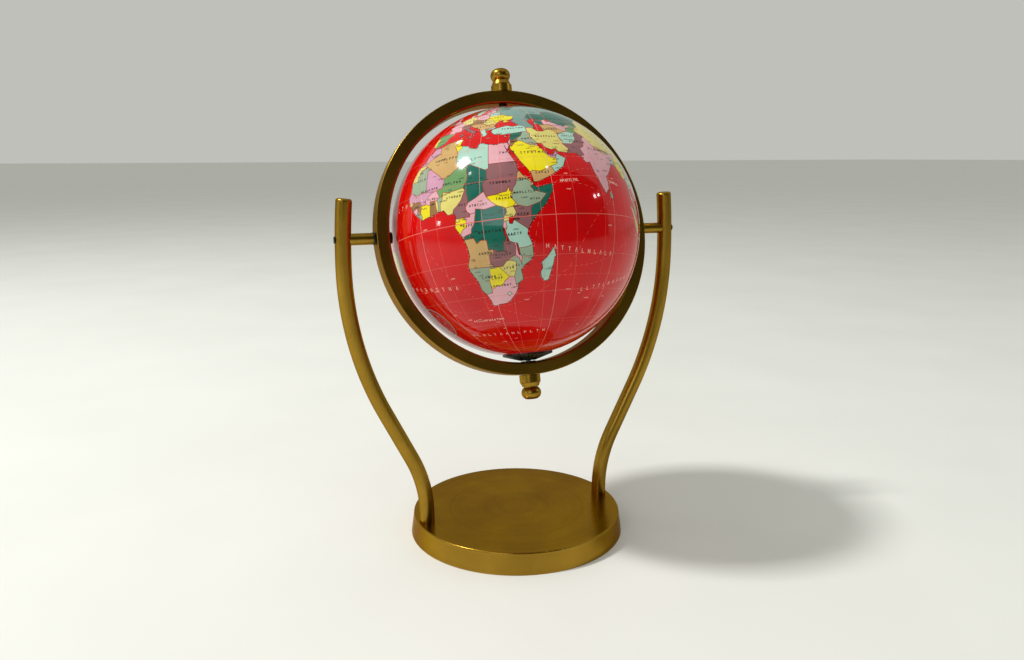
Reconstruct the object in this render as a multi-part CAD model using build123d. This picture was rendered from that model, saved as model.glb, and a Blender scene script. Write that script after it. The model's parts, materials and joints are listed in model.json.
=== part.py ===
from build123d import *
import math
import os

os.makedirs("parts", exist_ok=True)

# Driving sizes, millimetres and degrees.  +Z is up, the two pivot pins lie along X,
# the front of the globe is -Y.  The hoop and the ball are drawn upright about the
# centre of the ball and then leaned back about the pivot pins.

# the ball
globe_diameter = 152.4
map_paper_thickness = 0.3
shell_wall = 1.8
joint_band_wall = 1.2
joint_band_half_height = 6.0
pole_bush_radius = 4.0
pole_flange_radius = 5.0
pole_flange_thickness = 0.8
pole_bush_depth = 6.0
# the hoop
ring_gap = 3.9
ring_bar_thickness = 7.9
ring_bar_width = 12.0
ring_outer_round = 0.5
ring_inner_round = 1.4
pole_lean = 15.0
# the polar rod, its spacer and its finials
polar_rod_diameter = 3.0
polar_rod_thread_length = 6.0
spacer_diameter = 4.8
thrust_washer_thickness = 0.5
finial_barrel_diameter = 12.9
finial_barrel_height = 4.9
finial_cone_height = 2.2
finial_cone_top_diameter = 10.3
finial_groove_height = 0.6
finial_groove_diameter = 8.8
finial_ball_diameter = 12.2
finial_ball_height = 7.3
finial_end_flat_diameter = 5.0
finial_edge_chamfer = 0.4
finial_neck_overlap = 0.3
polar_rod_end_gap = 0.5
# the south cap
south_cap_diameter = 31.0
south_cap_wall = 1.1
south_cap_hub_diameter = 9.2
south_cap_hub_height = 2.1
south_cap_flutes = 36
south_cap_flute_radius = 0.55
south_cap_flute_setback = 1.5
south_cap_flange_clearance = 0.3
# the stand
pivot_height = 194.1
base_height = 13.4
base_side_flare = 1.9
base_edge_round = 0.8
base_cover_wall = 3.0
base_rim_wall = 1.3
base_felt_thickness = 2.0
arm_rod_diameter = 9.4
arm_axis_beyond_hoop = 18.5
arm_foot_to_base_edge = 6.3
arm_foot_socket_depth = 1.0
arm_foot_straight = 6.6
arm_lower_bend_radius = 83.0
arm_lean = 26.5
arm_upper_bend_radius = 200.0
arm_tip_bend_radius = 420.0
arm_tip_bend = 5.5
arm_tip_above_pivot = 23.4
arm_tip_round = 1.6
# the pivots and fasteners
pivot_screw_diameter = 4.0
pivot_screw_head_diameter = 6.8
pivot_screw_head_thickness = 1.6
pivot_screw_socket_width = 2.5
pivot_screw_socket_depth = 0.9
pivot_screw_end = 0.5
pivot_sleeve_diameter = 6.8
pivot_washer_diameter = 7.4
pivot_washer_thickness = 1.0
base_screw_diameter = 5.0
base_screw_head_diameter = 8.5
base_screw_head_height = 3.0
base_screw_socket_width = 4.0
base_screw_socket_depth = 1.8
base_screw_grip_in_arm = 9.0
base_screw_head_recess = 0.5
base_screw_end_gap = 1.0
base_washer_diameter = 9.4
base_washer_thickness = 1.0
# clearances
running_clearance = 0.05
thread_clearance = 0.05
seat_clearance = 0.05
bolt_clearance = 0.25
body_gap = 0.35
weight_clearance = 0.3
surface_gap = 0.02
# how far a cut runs past the part it goes through
cut_margin = 1.0

# sizes that follow from the ones above
globe_radius = globe_diameter / 2
shell_outer_radius = globe_radius - map_paper_thickness
shell_inner_radius = shell_outer_radius - shell_wall
ring_inner_radius = globe_radius + ring_gap
ring_outer_radius = ring_inner_radius + ring_bar_thickness
rod_radius = polar_rod_diameter / 2
rod_bore_radius = rod_radius + running_clearance
pole_flange_face = globe_radius + pole_flange_thickness
pivot_screw_radius = pivot_screw_diameter / 2
arm_radius = arm_rod_diameter / 2
arm_foot_height = base_height - arm_foot_socket_depth
base_floor = base_height - base_cover_wall


# length of the arm's straight shaft: what its bends and its foot leave of its height
def arm_shaft_length():
    lean = math.radians(arm_lean)
    bends = (arm_lower_bend_radius + arm_upper_bend_radius) * math.sin(lean)
    tip = arm_tip_bend_radius * math.sin(math.radians(arm_tip_bend))
    height = pivot_height + arm_tip_above_pivot - arm_foot_height - arm_foot_straight
    return (height - bends - tip) / math.cos(lean)


# centre line of the right arm, drawn flat from its foot: x outward, y up
def arm_centre_line():
    foot = Vector(0, arm_foot_height)
    stem = Line(foot, foot + Vector(0, arm_foot_straight))
    lower_bend = JernArc(stem @ 1, stem % 1, arm_lower_bend_radius, -arm_lean)
    shaft_end = lower_bend @ 1 + (lower_bend % 1) * arm_shaft_length()
    shaft = Line(lower_bend @ 1, shaft_end)
    upper_bend = JernArc(shaft @ 1, shaft % 1, arm_upper_bend_radius, arm_lean)
    tip = JernArc(upper_bend @ 1, upper_bend % 1, arm_tip_bend_radius, arm_tip_bend)
    return Wire([stem, lower_bend, shaft, upper_bend, tip])


# how far out from its foot the arm's centre line is at pivot height
def arm_spread_at_pivot():
    bend_top = (arm_centre_line().edges()[3]) @ 1
    rise = pivot_height - bend_top.Y
    return bend_top.X - arm_tip_bend_radius + math.sqrt(arm_tip_bend_radius ** 2 - rise ** 2)


arm_reach_at_pivot = ring_outer_radius + arm_axis_beyond_hoop
arm_foot_x = arm_reach_at_pivot - arm_spread_at_pivot()
base_top_radius = arm_foot_x + arm_foot_to_base_edge
base_bottom_radius = base_top_radius + base_side_flare
base_cavity_radius = base_top_radius - base_rim_wall
base_weight_radius = base_cavity_radius - weight_clearance


def hung(part):
    """Lean an upright part of the hoop or ball back about the pivot pins."""
    return Pos(0, 0, pivot_height) * Rot(-pole_lean, 0, 0) * part


def rod(radius, start, end):
    """A round bar along Z between two heights."""
    return Pos(0, 0, (start + end) / 2) * Cylinder(radius, end - start)


def tube(outer_radius, inner_radius, start, end):
    """A round tube along Z between two heights."""
    return rod(outer_radius, start, end) - rod(inner_radius, start - cut_margin, end + cut_margin)


def hexagon_socket(width, start, end):
    """The hole a hexagon key fits, along Z between two heights."""
    return Pos(0, 0, start) * extrude(RegularPolygon(width / 2, 6, major_radius=False), end - start)


def spun(points):
    """Spin a closed outline of (radius, height) corners about Z."""
    return revolve(Plane.XZ * make_face(Polyline(*points, close=True)), Axis.Z, 360)


def at_both_feet(part):
    """The two copies of a part that sits on the axis of an arm's foot."""
    return [Pos(side * arm_foot_x, 0, 0) * part for side in (-1, 1)]


def upside_down(part):
    """Turn a part of the hoop or ball from the north pole to the south pole."""
    return Rot(180, 0, 0) * part


# ---------- the base ----------

# the brass disc, hollow underneath, its side slightly flared
def make_base_cover():
    disc = spun([
        (0, 0),
        (base_bottom_radius, 0),
        (base_top_radius, base_height),
        (0, base_height),
    ])
    disc = fillet(disc.edges().filter_by(GeomType.CIRCLE).group_by(Axis.Z)[-1], base_edge_round)
    disc = disc - rod(base_cavity_radius, 0, base_floor)
    socket_bore = rod(arm_radius + seat_clearance, arm_foot_height, base_height + cut_margin)
    for socket in at_both_feet(socket_bore):
        disc = disc - socket
    for hole in at_both_feet(rod(base_screw_diameter / 2 + bolt_clearance, 0, base_height)):
        disc = disc - hole
    return disc


# the iron disc inside the cover, with a pocket for each screw head
def make_base_weight():
    weight = rod(base_weight_radius, base_felt_thickness, base_floor)
    head_start = base_felt_thickness + base_screw_head_recess
    pocket_top = head_start + base_screw_head_height + base_washer_thickness
    pocket_radius = base_washer_diameter / 2 + bolt_clearance
    pocket = rod(pocket_radius, base_felt_thickness - cut_margin, pocket_top)
    hole = rod(base_screw_diameter / 2 + bolt_clearance, 0, base_height)
    for cut in at_both_feet(pocket) + at_both_feet(hole):
        weight = weight - cut
    return weight


# the felt disc glued under the weight
def make_base_felt():
    return rod(base_weight_radius, 0, base_felt_thickness)


# the two cap screws that pull the arms down on to the base
def make_base_screws():
    head_start = base_felt_thickness + base_screw_head_recess
    head_end = head_start + base_screw_head_height
    tip = arm_foot_height + base_screw_grip_in_arm
    screw = rod(base_screw_head_diameter / 2, head_start, head_end)
    screw = screw + rod(base_screw_diameter / 2, head_end, tip)
    screw = screw - hexagon_socket(
        base_screw_socket_width, head_start, head_start + base_screw_socket_depth)
    return Compound(at_both_feet(screw))


# the washers under the heads of the base screws
def make_base_washers():
    start = base_felt_thickness + base_screw_head_recess + base_screw_head_height
    inner = base_screw_diameter / 2 + thread_clearance
    washer = tube(base_washer_diameter / 2, inner, start, start + base_washer_thickness)
    return Compound(at_both_feet(washer))


# ---------- the arms ----------

# the right arm: a round bar bent to a lyre curve, cross-drilled for the pivot screw
def make_right_arm():
    path = Pos(arm_foot_x, 0, 0) * Rot(90, 0, 0) * arm_centre_line()
    start = path @ 0
    section = Plane(origin=start, z_dir=(0, 0, 1)) * Circle(arm_radius)
    arm = sweep(section, path=path)
    arm = fillet(arm.edges().filter_by(GeomType.CIRCLE).sort_by(Axis.Z)[-1], arm_tip_round)
    cross_hole = Rot(0, 90, 0) * rod(pivot_screw_radius + thread_clearance, 0, globe_diameter)
    arm = arm - Pos(0, 0, pivot_height) * cross_hole
    screw_end = arm_foot_height + base_screw_grip_in_arm
    tapped_hole = rod(
        base_screw_diameter / 2 + thread_clearance, 0, screw_end + base_screw_end_gap)
    return arm - Pos(arm_foot_x, 0, 0) * tapped_hole


# ---------- the pivots, drawn for the right arm along +X ----------

# a part drawn along Z placed on the pivot axis, pointing at the right arm
def on_pivot_axis(part):
    return Pos(0, 0, pivot_height) * Rot(0, 90, 0) * part


# the black washer between the hoop and the sleeve
def make_pivot_washer():
    start = ring_outer_radius + body_gap
    inner = pivot_screw_radius + thread_clearance
    return on_pivot_axis(
        tube(pivot_washer_diameter / 2, inner, start, start + pivot_washer_thickness))


# the brass distance sleeve, its outer end hollowed to sit on the round arm
def make_pivot_sleeve(arm):
    start = ring_outer_radius + body_gap + pivot_washer_thickness
    inner = pivot_screw_radius + thread_clearance
    sleeve = on_pivot_axis(tube(pivot_sleeve_diameter / 2, inner, start, arm_reach_at_pivot))
    return (sleeve - arm).solids().sort_by(Axis.X)[0]


# the black screw that carries the hoop: its head is inside the hoop, its end in the arm
def make_pivot_screw():
    head_end = ring_inner_radius - body_gap
    head_start = head_end - pivot_screw_head_thickness
    screw = rod(pivot_screw_head_diameter / 2, head_start, head_end)
    screw = screw + rod(pivot_screw_radius, head_end,
                        arm_reach_at_pivot + arm_radius + pivot_screw_end)
    screw = screw - hexagon_socket(
        pivot_screw_socket_width, head_start, head_start + pivot_screw_socket_depth)
    return on_pivot_axis(screw)


# ---------- the hoop and its polar rod, drawn upright about the ball's centre ----------

# a flat brass bar bent to a full hoop and drilled at four places
def make_meridian_ring():
    section = Pos((ring_inner_radius + ring_outer_radius) / 2, 0) * Rectangle(
        ring_bar_thickness, ring_bar_width)
    corners = section.vertices().group_by(Axis.X)
    section = fillet(corners[-1], ring_outer_round)
    section = fillet(section.vertices().group_by(Axis.X)[0], ring_inner_round)
    ring = revolve(section, Axis.Y, 360)
    reach = ring_outer_radius + cut_margin
    pivot_holes = rod(pivot_screw_radius + running_clearance, -reach, reach)
    return ring - Rot(0, 90, 0) * pivot_holes - rod(rod_radius + thread_clearance, -reach, reach)


# a turned brass finial for the north end of the polar rod
def make_finial():
    base = ring_outer_radius
    barrel_top = base + finial_barrel_height
    cone_top = barrel_top + finial_cone_height
    ball_start = cone_top + finial_groove_height
    ball_end = ball_start + finial_ball_height
    barrel = finial_barrel_diameter / 2
    cone = finial_cone_top_diameter / 2
    groove = finial_groove_diameter / 2
    ball = finial_ball_diameter / 2
    flat = finial_end_flat_diameter / 2
    turned = spun([
        (0, base),
        (barrel, base),
        (barrel, barrel_top - finial_edge_chamfer),
        (barrel - finial_edge_chamfer, barrel_top),
        (cone, cone_top),
        (groove, cone_top),
        (groove, ball_start + finial_neck_overlap),
        (0, ball_start + finial_neck_overlap),
    ])
    ball_middle = (ball_start + ball_end) / 2
    with BuildSketch(Plane.XZ) as half_ball:
        with BuildLine():
            side = ThreePointArc((groove, ball_start), (ball, ball_middle), (flat, ball_end))
            Polyline(side @ 1, (0, ball_end), (0, ball_start), side @ 0)
        make_face()
    turned = turned + revolve(half_ball.sketch, Axis.Z, 360)
    return turned - rod(rod_radius + thread_clearance, base - cut_margin,
                        base + polar_rod_thread_length + polar_rod_end_gap)


# the steel rod through both poles, threaded into the finials
def make_polar_rod():
    reach = ring_outer_radius + polar_rod_thread_length
    return rod(rod_radius, -reach, reach)


# how far from the ball's centre a flat-ended round piece meets the inside of the hoop
def hoop_seat(radius):
    return math.sqrt(ring_inner_radius ** 2 - radius ** 2)


# the black spacer on the rod between the hoop and the north pole
def make_north_spacer():
    radius = spacer_diameter / 2
    return tube(radius, rod_radius + thread_clearance,
                pole_flange_face + body_gap, hoop_seat(radius))


# the thin washer on the rod that the south cap turns on
def make_thrust_washer():
    outer = south_cap_hub_diameter / 2
    seat = hoop_seat(outer)
    washer = tube(outer, rod_radius + thread_clearance, seat - thrust_washer_thickness, seat)
    return upside_down(washer)


# ---------- the ball, drawn upright about its centre ----------

# the moulded north half of the hollow ball, with a hole for its pole bush
def make_north_shell():
    shell = Sphere(shell_outer_radius) - Sphere(shell_inner_radius)
    shell = shell & rod(globe_radius, 0, globe_radius)
    return shell - rod(pole_bush_radius, pole_bush_radius, globe_radius + cut_margin)


def make_south_shell():
    return upside_down(make_north_shell())


# the band glued inside the ball across the joint of its two halves
def make_joint_band():
    band = Sphere(shell_inner_radius) - Sphere(shell_inner_radius - joint_band_wall)
    return band & rod(globe_radius, -joint_band_half_height, joint_band_half_height)


# the printed paper gores that cover the ball
def make_map_paper():
    paper = Sphere(globe_radius) - Sphere(shell_outer_radius)
    return paper - rod(pole_bush_radius, -globe_radius - cut_margin, globe_radius + cut_margin)


# height of the ball's surface, raised by a margin, at a distance from the poles' axis
def ball_height(radius, margin=0):
    return math.sqrt((globe_radius + margin) ** 2 - radius ** 2)


# the brass bush in the north pole, its flange lying on the ball
def make_north_bush():
    inner_end = globe_radius - pole_bush_depth
    return spun([
        (rod_bore_radius, inner_end),
        (pole_bush_radius, inner_end),
        (pole_bush_radius, ball_height(pole_bush_radius) + surface_gap),
        (pole_flange_radius, ball_height(pole_flange_radius) + surface_gap),
        (pole_flange_radius, ball_height(pole_flange_radius, pole_flange_thickness)),
        (rod_bore_radius, ball_height(rod_bore_radius, pole_flange_thickness)),
    ])


def make_south_bush():
    return upside_down(make_north_bush())


# the black fluted cap at the south pole, its rim resting on the map
def make_south_cap():
    rim = south_cap_diameter / 2
    hub = south_cap_hub_diameter / 2
    hub_top = pole_flange_face + south_cap_hub_height
    rim_height = ball_height(rim)
    inside = pole_flange_radius + south_cap_flange_clearance
    cap = spun([
        (rod_bore_radius, pole_flange_face),
        (rod_bore_radius, hub_top),
        (hub, hub_top),
        (rim, rim_height + south_cap_wall),
        (rim, rim_height + surface_gap),
        (inside, pole_flange_face),
    ])
    slope = math.atan2(hub_top - rim_height - south_cap_wall, rim - hub)
    length = math.hypot(rim - hub, hub_top - rim_height - south_cap_wall)
    flute = Rot(0, 90, 0) * Cylinder(south_cap_flute_radius, length)
    flute = Pos(length / 2 + south_cap_flute_setback, 0, 0) * flute
    flute = Pos(hub, 0, hub_top) * Rot(0, math.degrees(slope), 0) * flute
    for number in range(south_cap_flutes):
        cap = cap - Rot(0, 0, number * 360 / south_cap_flutes) * flute
    return upside_down(cap)


right_arm = make_right_arm()
right_sleeve = make_pivot_sleeve(right_arm)
right_screw = make_pivot_screw()
right_washer = make_pivot_washer()
left_turn = Rot(0, 0, 180)
finial = make_finial()

nodes = {
    "base_cover": make_base_cover(),
    "base_weight": make_base_weight(),
    "base_felt": make_base_felt(),
    "base_screws": make_base_screws(),
    "base_washers": make_base_washers(),
    "right_arm": right_arm,
    "left_arm": left_turn * right_arm,
    "right_pivot_sleeve": right_sleeve,
    "left_pivot_sleeve": left_turn * right_sleeve,
    "right_pivot_screw": right_screw,
    "left_pivot_screw": left_turn * right_screw,
    "pivot_washers": Compound([right_washer, left_turn * right_washer]),
    "meridian_ring": hung(make_meridian_ring()),
    "polar_rod": hung(make_polar_rod()),
    "north_finial": hung(finial),
    "south_finial": hung(upside_down(finial)),
    "north_spacer": hung(make_north_spacer()),
    "south_thrust_washer": hung(make_thrust_washer()),
    "globe_north_shell": hung(make_north_shell()),
    "globe_south_shell": hung(make_south_shell()),
    "globe_joint_band": hung(make_joint_band()),
    "globe_map_paper": hung(make_map_paper()),
    "north_pole_bush": hung(make_north_bush()),
    "south_pole_bush": hung(make_south_bush()),
    "south_cap": hung(make_south_cap()),
}

for name, solid in nodes.items():
    export_step(solid, f"parts/{name}.step")
    print(name, len(solid.solids()), round(solid.volume, 1))
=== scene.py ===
import json
import math
import random
import bpy
from mathutils import Matrix, Vector
from mathutils.geometry import delaunay_2d_cdt


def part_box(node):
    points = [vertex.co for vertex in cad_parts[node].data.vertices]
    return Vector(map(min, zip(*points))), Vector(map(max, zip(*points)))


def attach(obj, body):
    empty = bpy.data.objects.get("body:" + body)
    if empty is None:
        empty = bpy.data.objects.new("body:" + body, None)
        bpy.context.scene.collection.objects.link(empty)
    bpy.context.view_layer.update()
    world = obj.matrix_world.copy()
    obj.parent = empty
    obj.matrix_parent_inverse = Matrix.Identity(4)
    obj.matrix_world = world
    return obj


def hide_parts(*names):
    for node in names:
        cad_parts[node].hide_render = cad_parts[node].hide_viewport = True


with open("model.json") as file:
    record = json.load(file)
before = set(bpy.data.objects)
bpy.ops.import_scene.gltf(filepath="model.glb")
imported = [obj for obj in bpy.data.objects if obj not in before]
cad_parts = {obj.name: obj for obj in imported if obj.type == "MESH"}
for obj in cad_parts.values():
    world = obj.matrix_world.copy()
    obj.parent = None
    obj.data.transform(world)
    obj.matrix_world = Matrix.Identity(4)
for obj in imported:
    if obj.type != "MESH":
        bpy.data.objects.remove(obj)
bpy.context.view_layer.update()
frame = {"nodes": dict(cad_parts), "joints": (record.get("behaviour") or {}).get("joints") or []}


# ---- Base cover --------------------------------------------------------------------------
# A turned brass disc, hollow underneath, its rim barely rounded.  It was brushed on the lathe,
# darkened to an antique tone with acid, rubbed back and then lacquered.
def linear(hex_colour):
    """An sRGB hex colour as linear red, green, blue and alpha."""
    channels = [int(hex_colour[i:i + 2], 16) / 255 for i in (1, 3, 5)]
    return [c / 12.92 if c < 0.04045 else ((c + 0.055) / 1.055) ** 2.4 for c in channels] + [1.0]


def add_node(tree, kind, settings=None, inputs=None):
    """Adds a shader node.  An input's value is a plain value or a (node, output) pair to link."""
    node = tree.nodes.new("ShaderNode" + kind)
    for name, value in (settings or {}).items():
        setattr(node, name, value)
    for key, value in (inputs or {}).items():
        if isinstance(value, tuple) and isinstance(value[0], bpy.types.Node):
            tree.links.new(value[0].outputs[value[1]], node.inputs[key])
        else:
            node.inputs[key].default_value = value
    return node


def new_material(name):
    """A node material, its tree, its surface shader and its coordinates in metres."""
    material = bpy.data.materials.new(name)
    material.use_nodes = True
    tree = material.node_tree
    return material, tree, tree.nodes["Principled BSDF"], (add_node(tree, "TexCoord"), "Object")


def wear(material, *node_names):
    """Puts a material on pieces that keep the shape they were drawn with."""
    for node_name in node_names:
        for slot in frame["nodes"][node_name].material_slots:
            slot.material = material


def per_mm(size_mm):
    """The pattern scale that gives features of this size in millimetres."""
    return 1000.0 / size_mm


def antique_brass(name, grain, roughness):
    """Antiqued brass under lacquer: olive gold where it was rubbed back and brown in the
    hollows, with hair-fine brush lines, cloudy tone and small dark specks.  grain gives the
    coordinates that the brush lines follow, from the tree and the place in metres."""
    material, tree, surface, place = new_material(name)
    clouds = add_node(tree, "TexNoise", None, {
        "Vector": place, "Scale": per_mm(34), "Detail": 3.0, "Roughness": 0.55})
    tone = add_node(tree, "ValToRGB", None, {"Fac": (clouds, 0)})
    tone.color_ramp.elements[0].position = 0.36
    tone.color_ramp.elements[0].color = linear("#977523")
    tone.color_ramp.elements[1].position = 0.66
    tone.color_ramp.elements[1].color = linear("#A8832A")
    # real brush lines are about 0.05 mm apart; these are 0.3 mm apart so that they show
    lines = add_node(tree, "TexNoise", None, {
        "Vector": grain(tree, place), "Scale": per_mm(0.3), "Detail": 4.0, "Roughness": 0.7})
    specks = add_node(tree, "TexNoise", None, {
        "Vector": place, "Scale": per_mm(1.6), "Detail": 5.0, "Roughness": 0.75})
    speckle = add_node(tree, "MapRange", None, {
        "Value": (specks, 0), "From Min": 0.62, "From Max": 0.75, "To Max": 0.6})
    spotted = add_node(tree, "Mix", {"data_type": "RGBA"}, {
        0: (speckle, 0), 6: (tone, 0), 7: linear("#43320F")})
    streak = add_node(tree, "MapRange", None, {
        "Value": (lines, 0), "From Min": 0.3, "From Max": 0.7, "To Min": 0.78, "To Max": 1.16})
    streaked = add_node(tree, "Mix", {"data_type": "RGBA", "blend_type": "MULTIPLY"}, {
        0: 1.0, 6: (spotted, 2), 7: (streak, 0)})
    cloudy_gloss = add_node(tree, "MapRange", None, {
        "Value": (clouds, 0), "From Min": 0.3, "From Max": 0.7,
        "To Min": roughness - 0.02, "To Max": roughness + 0.02})
    gloss = add_node(tree, "Math", {"operation": "MULTIPLY_ADD"}, {
        0: (lines, 0), 1: 0.10, 2: (cloudy_gloss, 0)})
    relief = add_node(tree, "Bump", None, {
        "Height": (lines, 0), "Strength": 0.12, "Distance": 0.00005})
    tree.links.new(streaked.outputs[2], surface.inputs["Base Color"])
    tree.links.new(gloss.outputs[0], surface.inputs["Roughness"])
    tree.links.new(relief.outputs[0], surface.inputs["Normal"])
    surface.inputs["Metallic"].default_value = 1.0
    surface.inputs["Coat Weight"].default_value = 0.12
    surface.inputs["Coat Roughness"].default_value = 0.12
    surface.inputs["Specular Tint"].default_value = linear("#BFA468")
    return material


def turned_grain(tree, place):
    """Brush lines that run round the upright axis: they change with radius and height only."""
    parts = add_node(tree, "SeparateXYZ", None, {0: place})
    flat = add_node(tree, "CombineXYZ", None, {0: (parts, 0), 1: (parts, 1)})
    radius = add_node(tree, "VectorMath", {"operation": "LENGTH"}, {0: (flat, 0)})
    return add_node(tree, "CombineXYZ", None, {0: (radius, 1), 1: (parts, 2)}), 0


wear(antique_brass("Antiqued brass, lathe brushed", turned_grain, 0.20), "base_cover")


# ---- Base weight -------------------------------------------------------------------------
# A sand-cast iron disc that fills the cover and keeps the globe from tipping.  It is left as
# cast, so it is dull, grainy and almost black, with a little brown where it has rusted.
def cast_iron(name):
    """Sand-cast iron: dull, grainy and nearly black, with faint brown rust."""
    material, tree, surface, place = new_material(name)
    sand = add_node(tree, "TexNoise", None, {
        "Vector": place, "Scale": per_mm(0.8), "Detail": 6.0, "Roughness": 0.7})
    rust = add_node(tree, "TexNoise", None, {"Vector": place, "Scale": per_mm(18), "Detail": 4.0})
    bloom = add_node(tree, "MapRange", None, {
        "Value": (rust, 0), "From Min": 0.5, "From Max": 0.72, "To Max": 0.7})
    colour = add_node(tree, "Mix", {"data_type": "RGBA"}, {
        0: (bloom, 0), 6: linear("#2B2A29"), 7: linear("#4B3122")})
    relief = add_node(tree, "Bump", None, {
        "Height": (sand, 0), "Strength": 0.5, "Distance": 0.0003})
    tree.links.new(colour.outputs[2], surface.inputs["Base Color"])
    tree.links.new(relief.outputs[0], surface.inputs["Normal"])
    surface.inputs["Metallic"].default_value = 0.6
    surface.inputs["Roughness"].default_value = 0.72
    return material


wear(cast_iron("Sand-cast iron"), "base_weight")


# ---- Base felt ---------------------------------------------------------------------------
# A disc of pressed wool felt glued under the weight.  The fibres lie every way, so it takes
# no gloss, and a soft pale fuzz catches the light at its edge.
def pressed_felt(name):
    """Pressed wool felt: matt near-black green with a short tangled nap."""
    material, tree, surface, place = new_material(name)
    nap = add_node(tree, "TexNoise", None, {
        "Vector": place, "Scale": per_mm(0.5), "Detail": 8.0, "Roughness": 0.8, "Distortion": 1.5})
    colour = add_node(tree, "Mix", {"data_type": "RGBA"}, {
        0: (nap, 0), 6: linear("#10140F"), 7: linear("#2C332B")})
    relief = add_node(tree, "Bump", None, {
        "Height": (nap, 0), "Strength": 0.8, "Distance": 0.0004})
    tree.links.new(colour.outputs[2], surface.inputs["Base Color"])
    tree.links.new(relief.outputs[0], surface.inputs["Normal"])
    surface.inputs["Roughness"].default_value = 0.95
    surface.inputs["Sheen Weight"].default_value = 0.4
    return material


wear(pressed_felt("Pressed wool felt"), "base_felt")


# ---- Base screws and washers -------------------------------------------------------------
# Zinc-plated steel cap screws, each with a punched washer, pull the arms down from below.
# The plating is silvery and a little cloudy, with fine turning marks on the heads.
def zinc_plated_steel(name):
    """Bright zinc plating on steel: silvery, faintly blue and cloudy."""
    material, tree, surface, place = new_material(name)
    spangle = add_node(tree, "TexVoronoi", None, {"Vector": place, "Scale": per_mm(0.7)})
    haze = add_node(tree, "TexNoise", None, {"Vector": place, "Scale": per_mm(3), "Detail": 4.0})
    shade = add_node(tree, "Mix", {"data_type": "RGBA"}, {
        0: (spangle, "Color"), 6: linear("#A9ACAE"), 7: linear("#BFC1C0")})
    gloss = add_node(tree, "MapRange", None, {
        "Value": (haze, 0), "From Min": 0.3, "From Max": 0.7, "To Min": 0.24, "To Max": 0.42})
    relief = add_node(tree, "Bump", None, {
        "Height": (spangle, "Distance"), "Strength": 0.1, "Distance": 0.0001})
    tree.links.new(shade.outputs[2], surface.inputs["Base Color"])
    tree.links.new(gloss.outputs[0], surface.inputs["Roughness"])
    tree.links.new(relief.outputs[0], surface.inputs["Normal"])
    surface.inputs["Metallic"].default_value = 1.0
    return material


plated_steel = zinc_plated_steel("Zinc-plated steel")
wear(plated_steel, "base_screws", "base_washers")


# ---- Arms --------------------------------------------------------------------------------
# Two lengths of round brass bar bent to a lyre curve.  They were polished lengthwise before
# antiquing, so the brush lines and the long bright and dark streaks run up the bar.
def drawn_grain(tree, place):
    """Brush lines that run up a bar: the pattern is drawn out along its length."""
    return add_node(tree, "Mapping", None, {"Vector": place, "Scale": (1.0, 1.0, 0.03)}), 0


wear(antique_brass("Antiqued brass, drawn bar", drawn_grain, 0.25), "left_arm", "right_arm")


# ---- Pivot sleeves -----------------------------------------------------------------------
# Short brass tubes that keep the hoop clear of the arms.  Each is turned, its far end hollowed
# to sit against the round bar, and finished like the rest of the brass.
def crosswise_grain(tree, place):
    """Brush lines that run round a piece lying along the pivot screws."""
    return add_node(tree, "Mapping", None, {"Vector": place, "Scale": (1.0, 0.04, 0.04)}), 0


wear(antique_brass("Antiqued brass, turned sleeve", crosswise_grain, 0.27),
     "left_pivot_sleeve", "right_pivot_sleeve")


# ---- Pivot screws ------------------------------------------------------------------------
# Steel screws blackened in hot oxide, with a hexagon socket in each head.  The finish is a
# thin oily black that turns brown-grey on the worn edges.
def black_oxide_steel(name):
    """Steel blackened in hot oxide: oily near-black with faint brown wear."""
    material, tree, surface, place = new_material(name)
    rub = add_node(tree, "TexNoise", None, {"Vector": place, "Scale": per_mm(1.2), "Detail": 5.0})
    worn = add_node(tree, "MapRange", None, {
        "Value": (rub, 0), "From Min": 0.55, "From Max": 0.75, "To Max": 0.6})
    colour = add_node(tree, "Mix", {"data_type": "RGBA"}, {
        0: (worn, 0), 6: linear("#15130F"), 7: linear("#3E352B")})
    relief = add_node(tree, "Bump", None, {
        "Height": (rub, 0), "Strength": 0.15, "Distance": 0.0001})
    tree.links.new(colour.outputs[2], surface.inputs["Base Color"])
    tree.links.new(relief.outputs[0], surface.inputs["Normal"])
    surface.inputs["Metallic"].default_value = 0.8
    surface.inputs["Roughness"].default_value = 0.38
    return material


wear(black_oxide_steel("Black oxide steel"), "left_pivot_screw", "right_pivot_screw")


# ---- Washers and spacer ------------------------------------------------------------------
# Black nylon washers between hoop and sleeve, a nylon spacer at the north pole and a thrust
# washer at the south pole.  Moulded, smooth and a little waxy.
def moulded_nylon(name):
    """Black moulded nylon: waxy near-black with a faint moulded grain."""
    material, tree, surface, place = new_material(name)
    grain = add_node(tree, "TexNoise", None, {"Vector": place, "Scale": per_mm(0.4), "Detail": 3.0})
    gloss = add_node(tree, "MapRange", None, {
        "Value": (grain, 0), "From Min": 0.3, "From Max": 0.7, "To Min": 0.38, "To Max": 0.52})
    colour = add_node(tree, "Mix", {"data_type": "RGBA"}, {
        0: (grain, 0), 6: linear("#0E0E0E"), 7: linear("#1E1D1C")})
    relief = add_node(tree, "Bump", None, {
        "Height": (grain, 0), "Strength": 0.15, "Distance": 0.00005})
    tree.links.new(colour.outputs[2], surface.inputs["Base Color"])
    tree.links.new(gloss.outputs[0], surface.inputs["Roughness"])
    tree.links.new(relief.outputs[0], surface.inputs["Normal"])
    surface.inputs["IOR"].default_value = 1.53
    return material


wear(moulded_nylon("Black moulded nylon"), "pivot_washers", "north_spacer", "south_thrust_washer")


# ---- Hoop --------------------------------------------------------------------------------
# A flat brass bar bent to a full circle round the ball and leaned back on its pivots.  It was
# polished round its length, so the brush lines run round the hoop.
lean = math.radians(15.0)
ball_centre = Vector(frame["joints"][0]["pos_m"])


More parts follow.
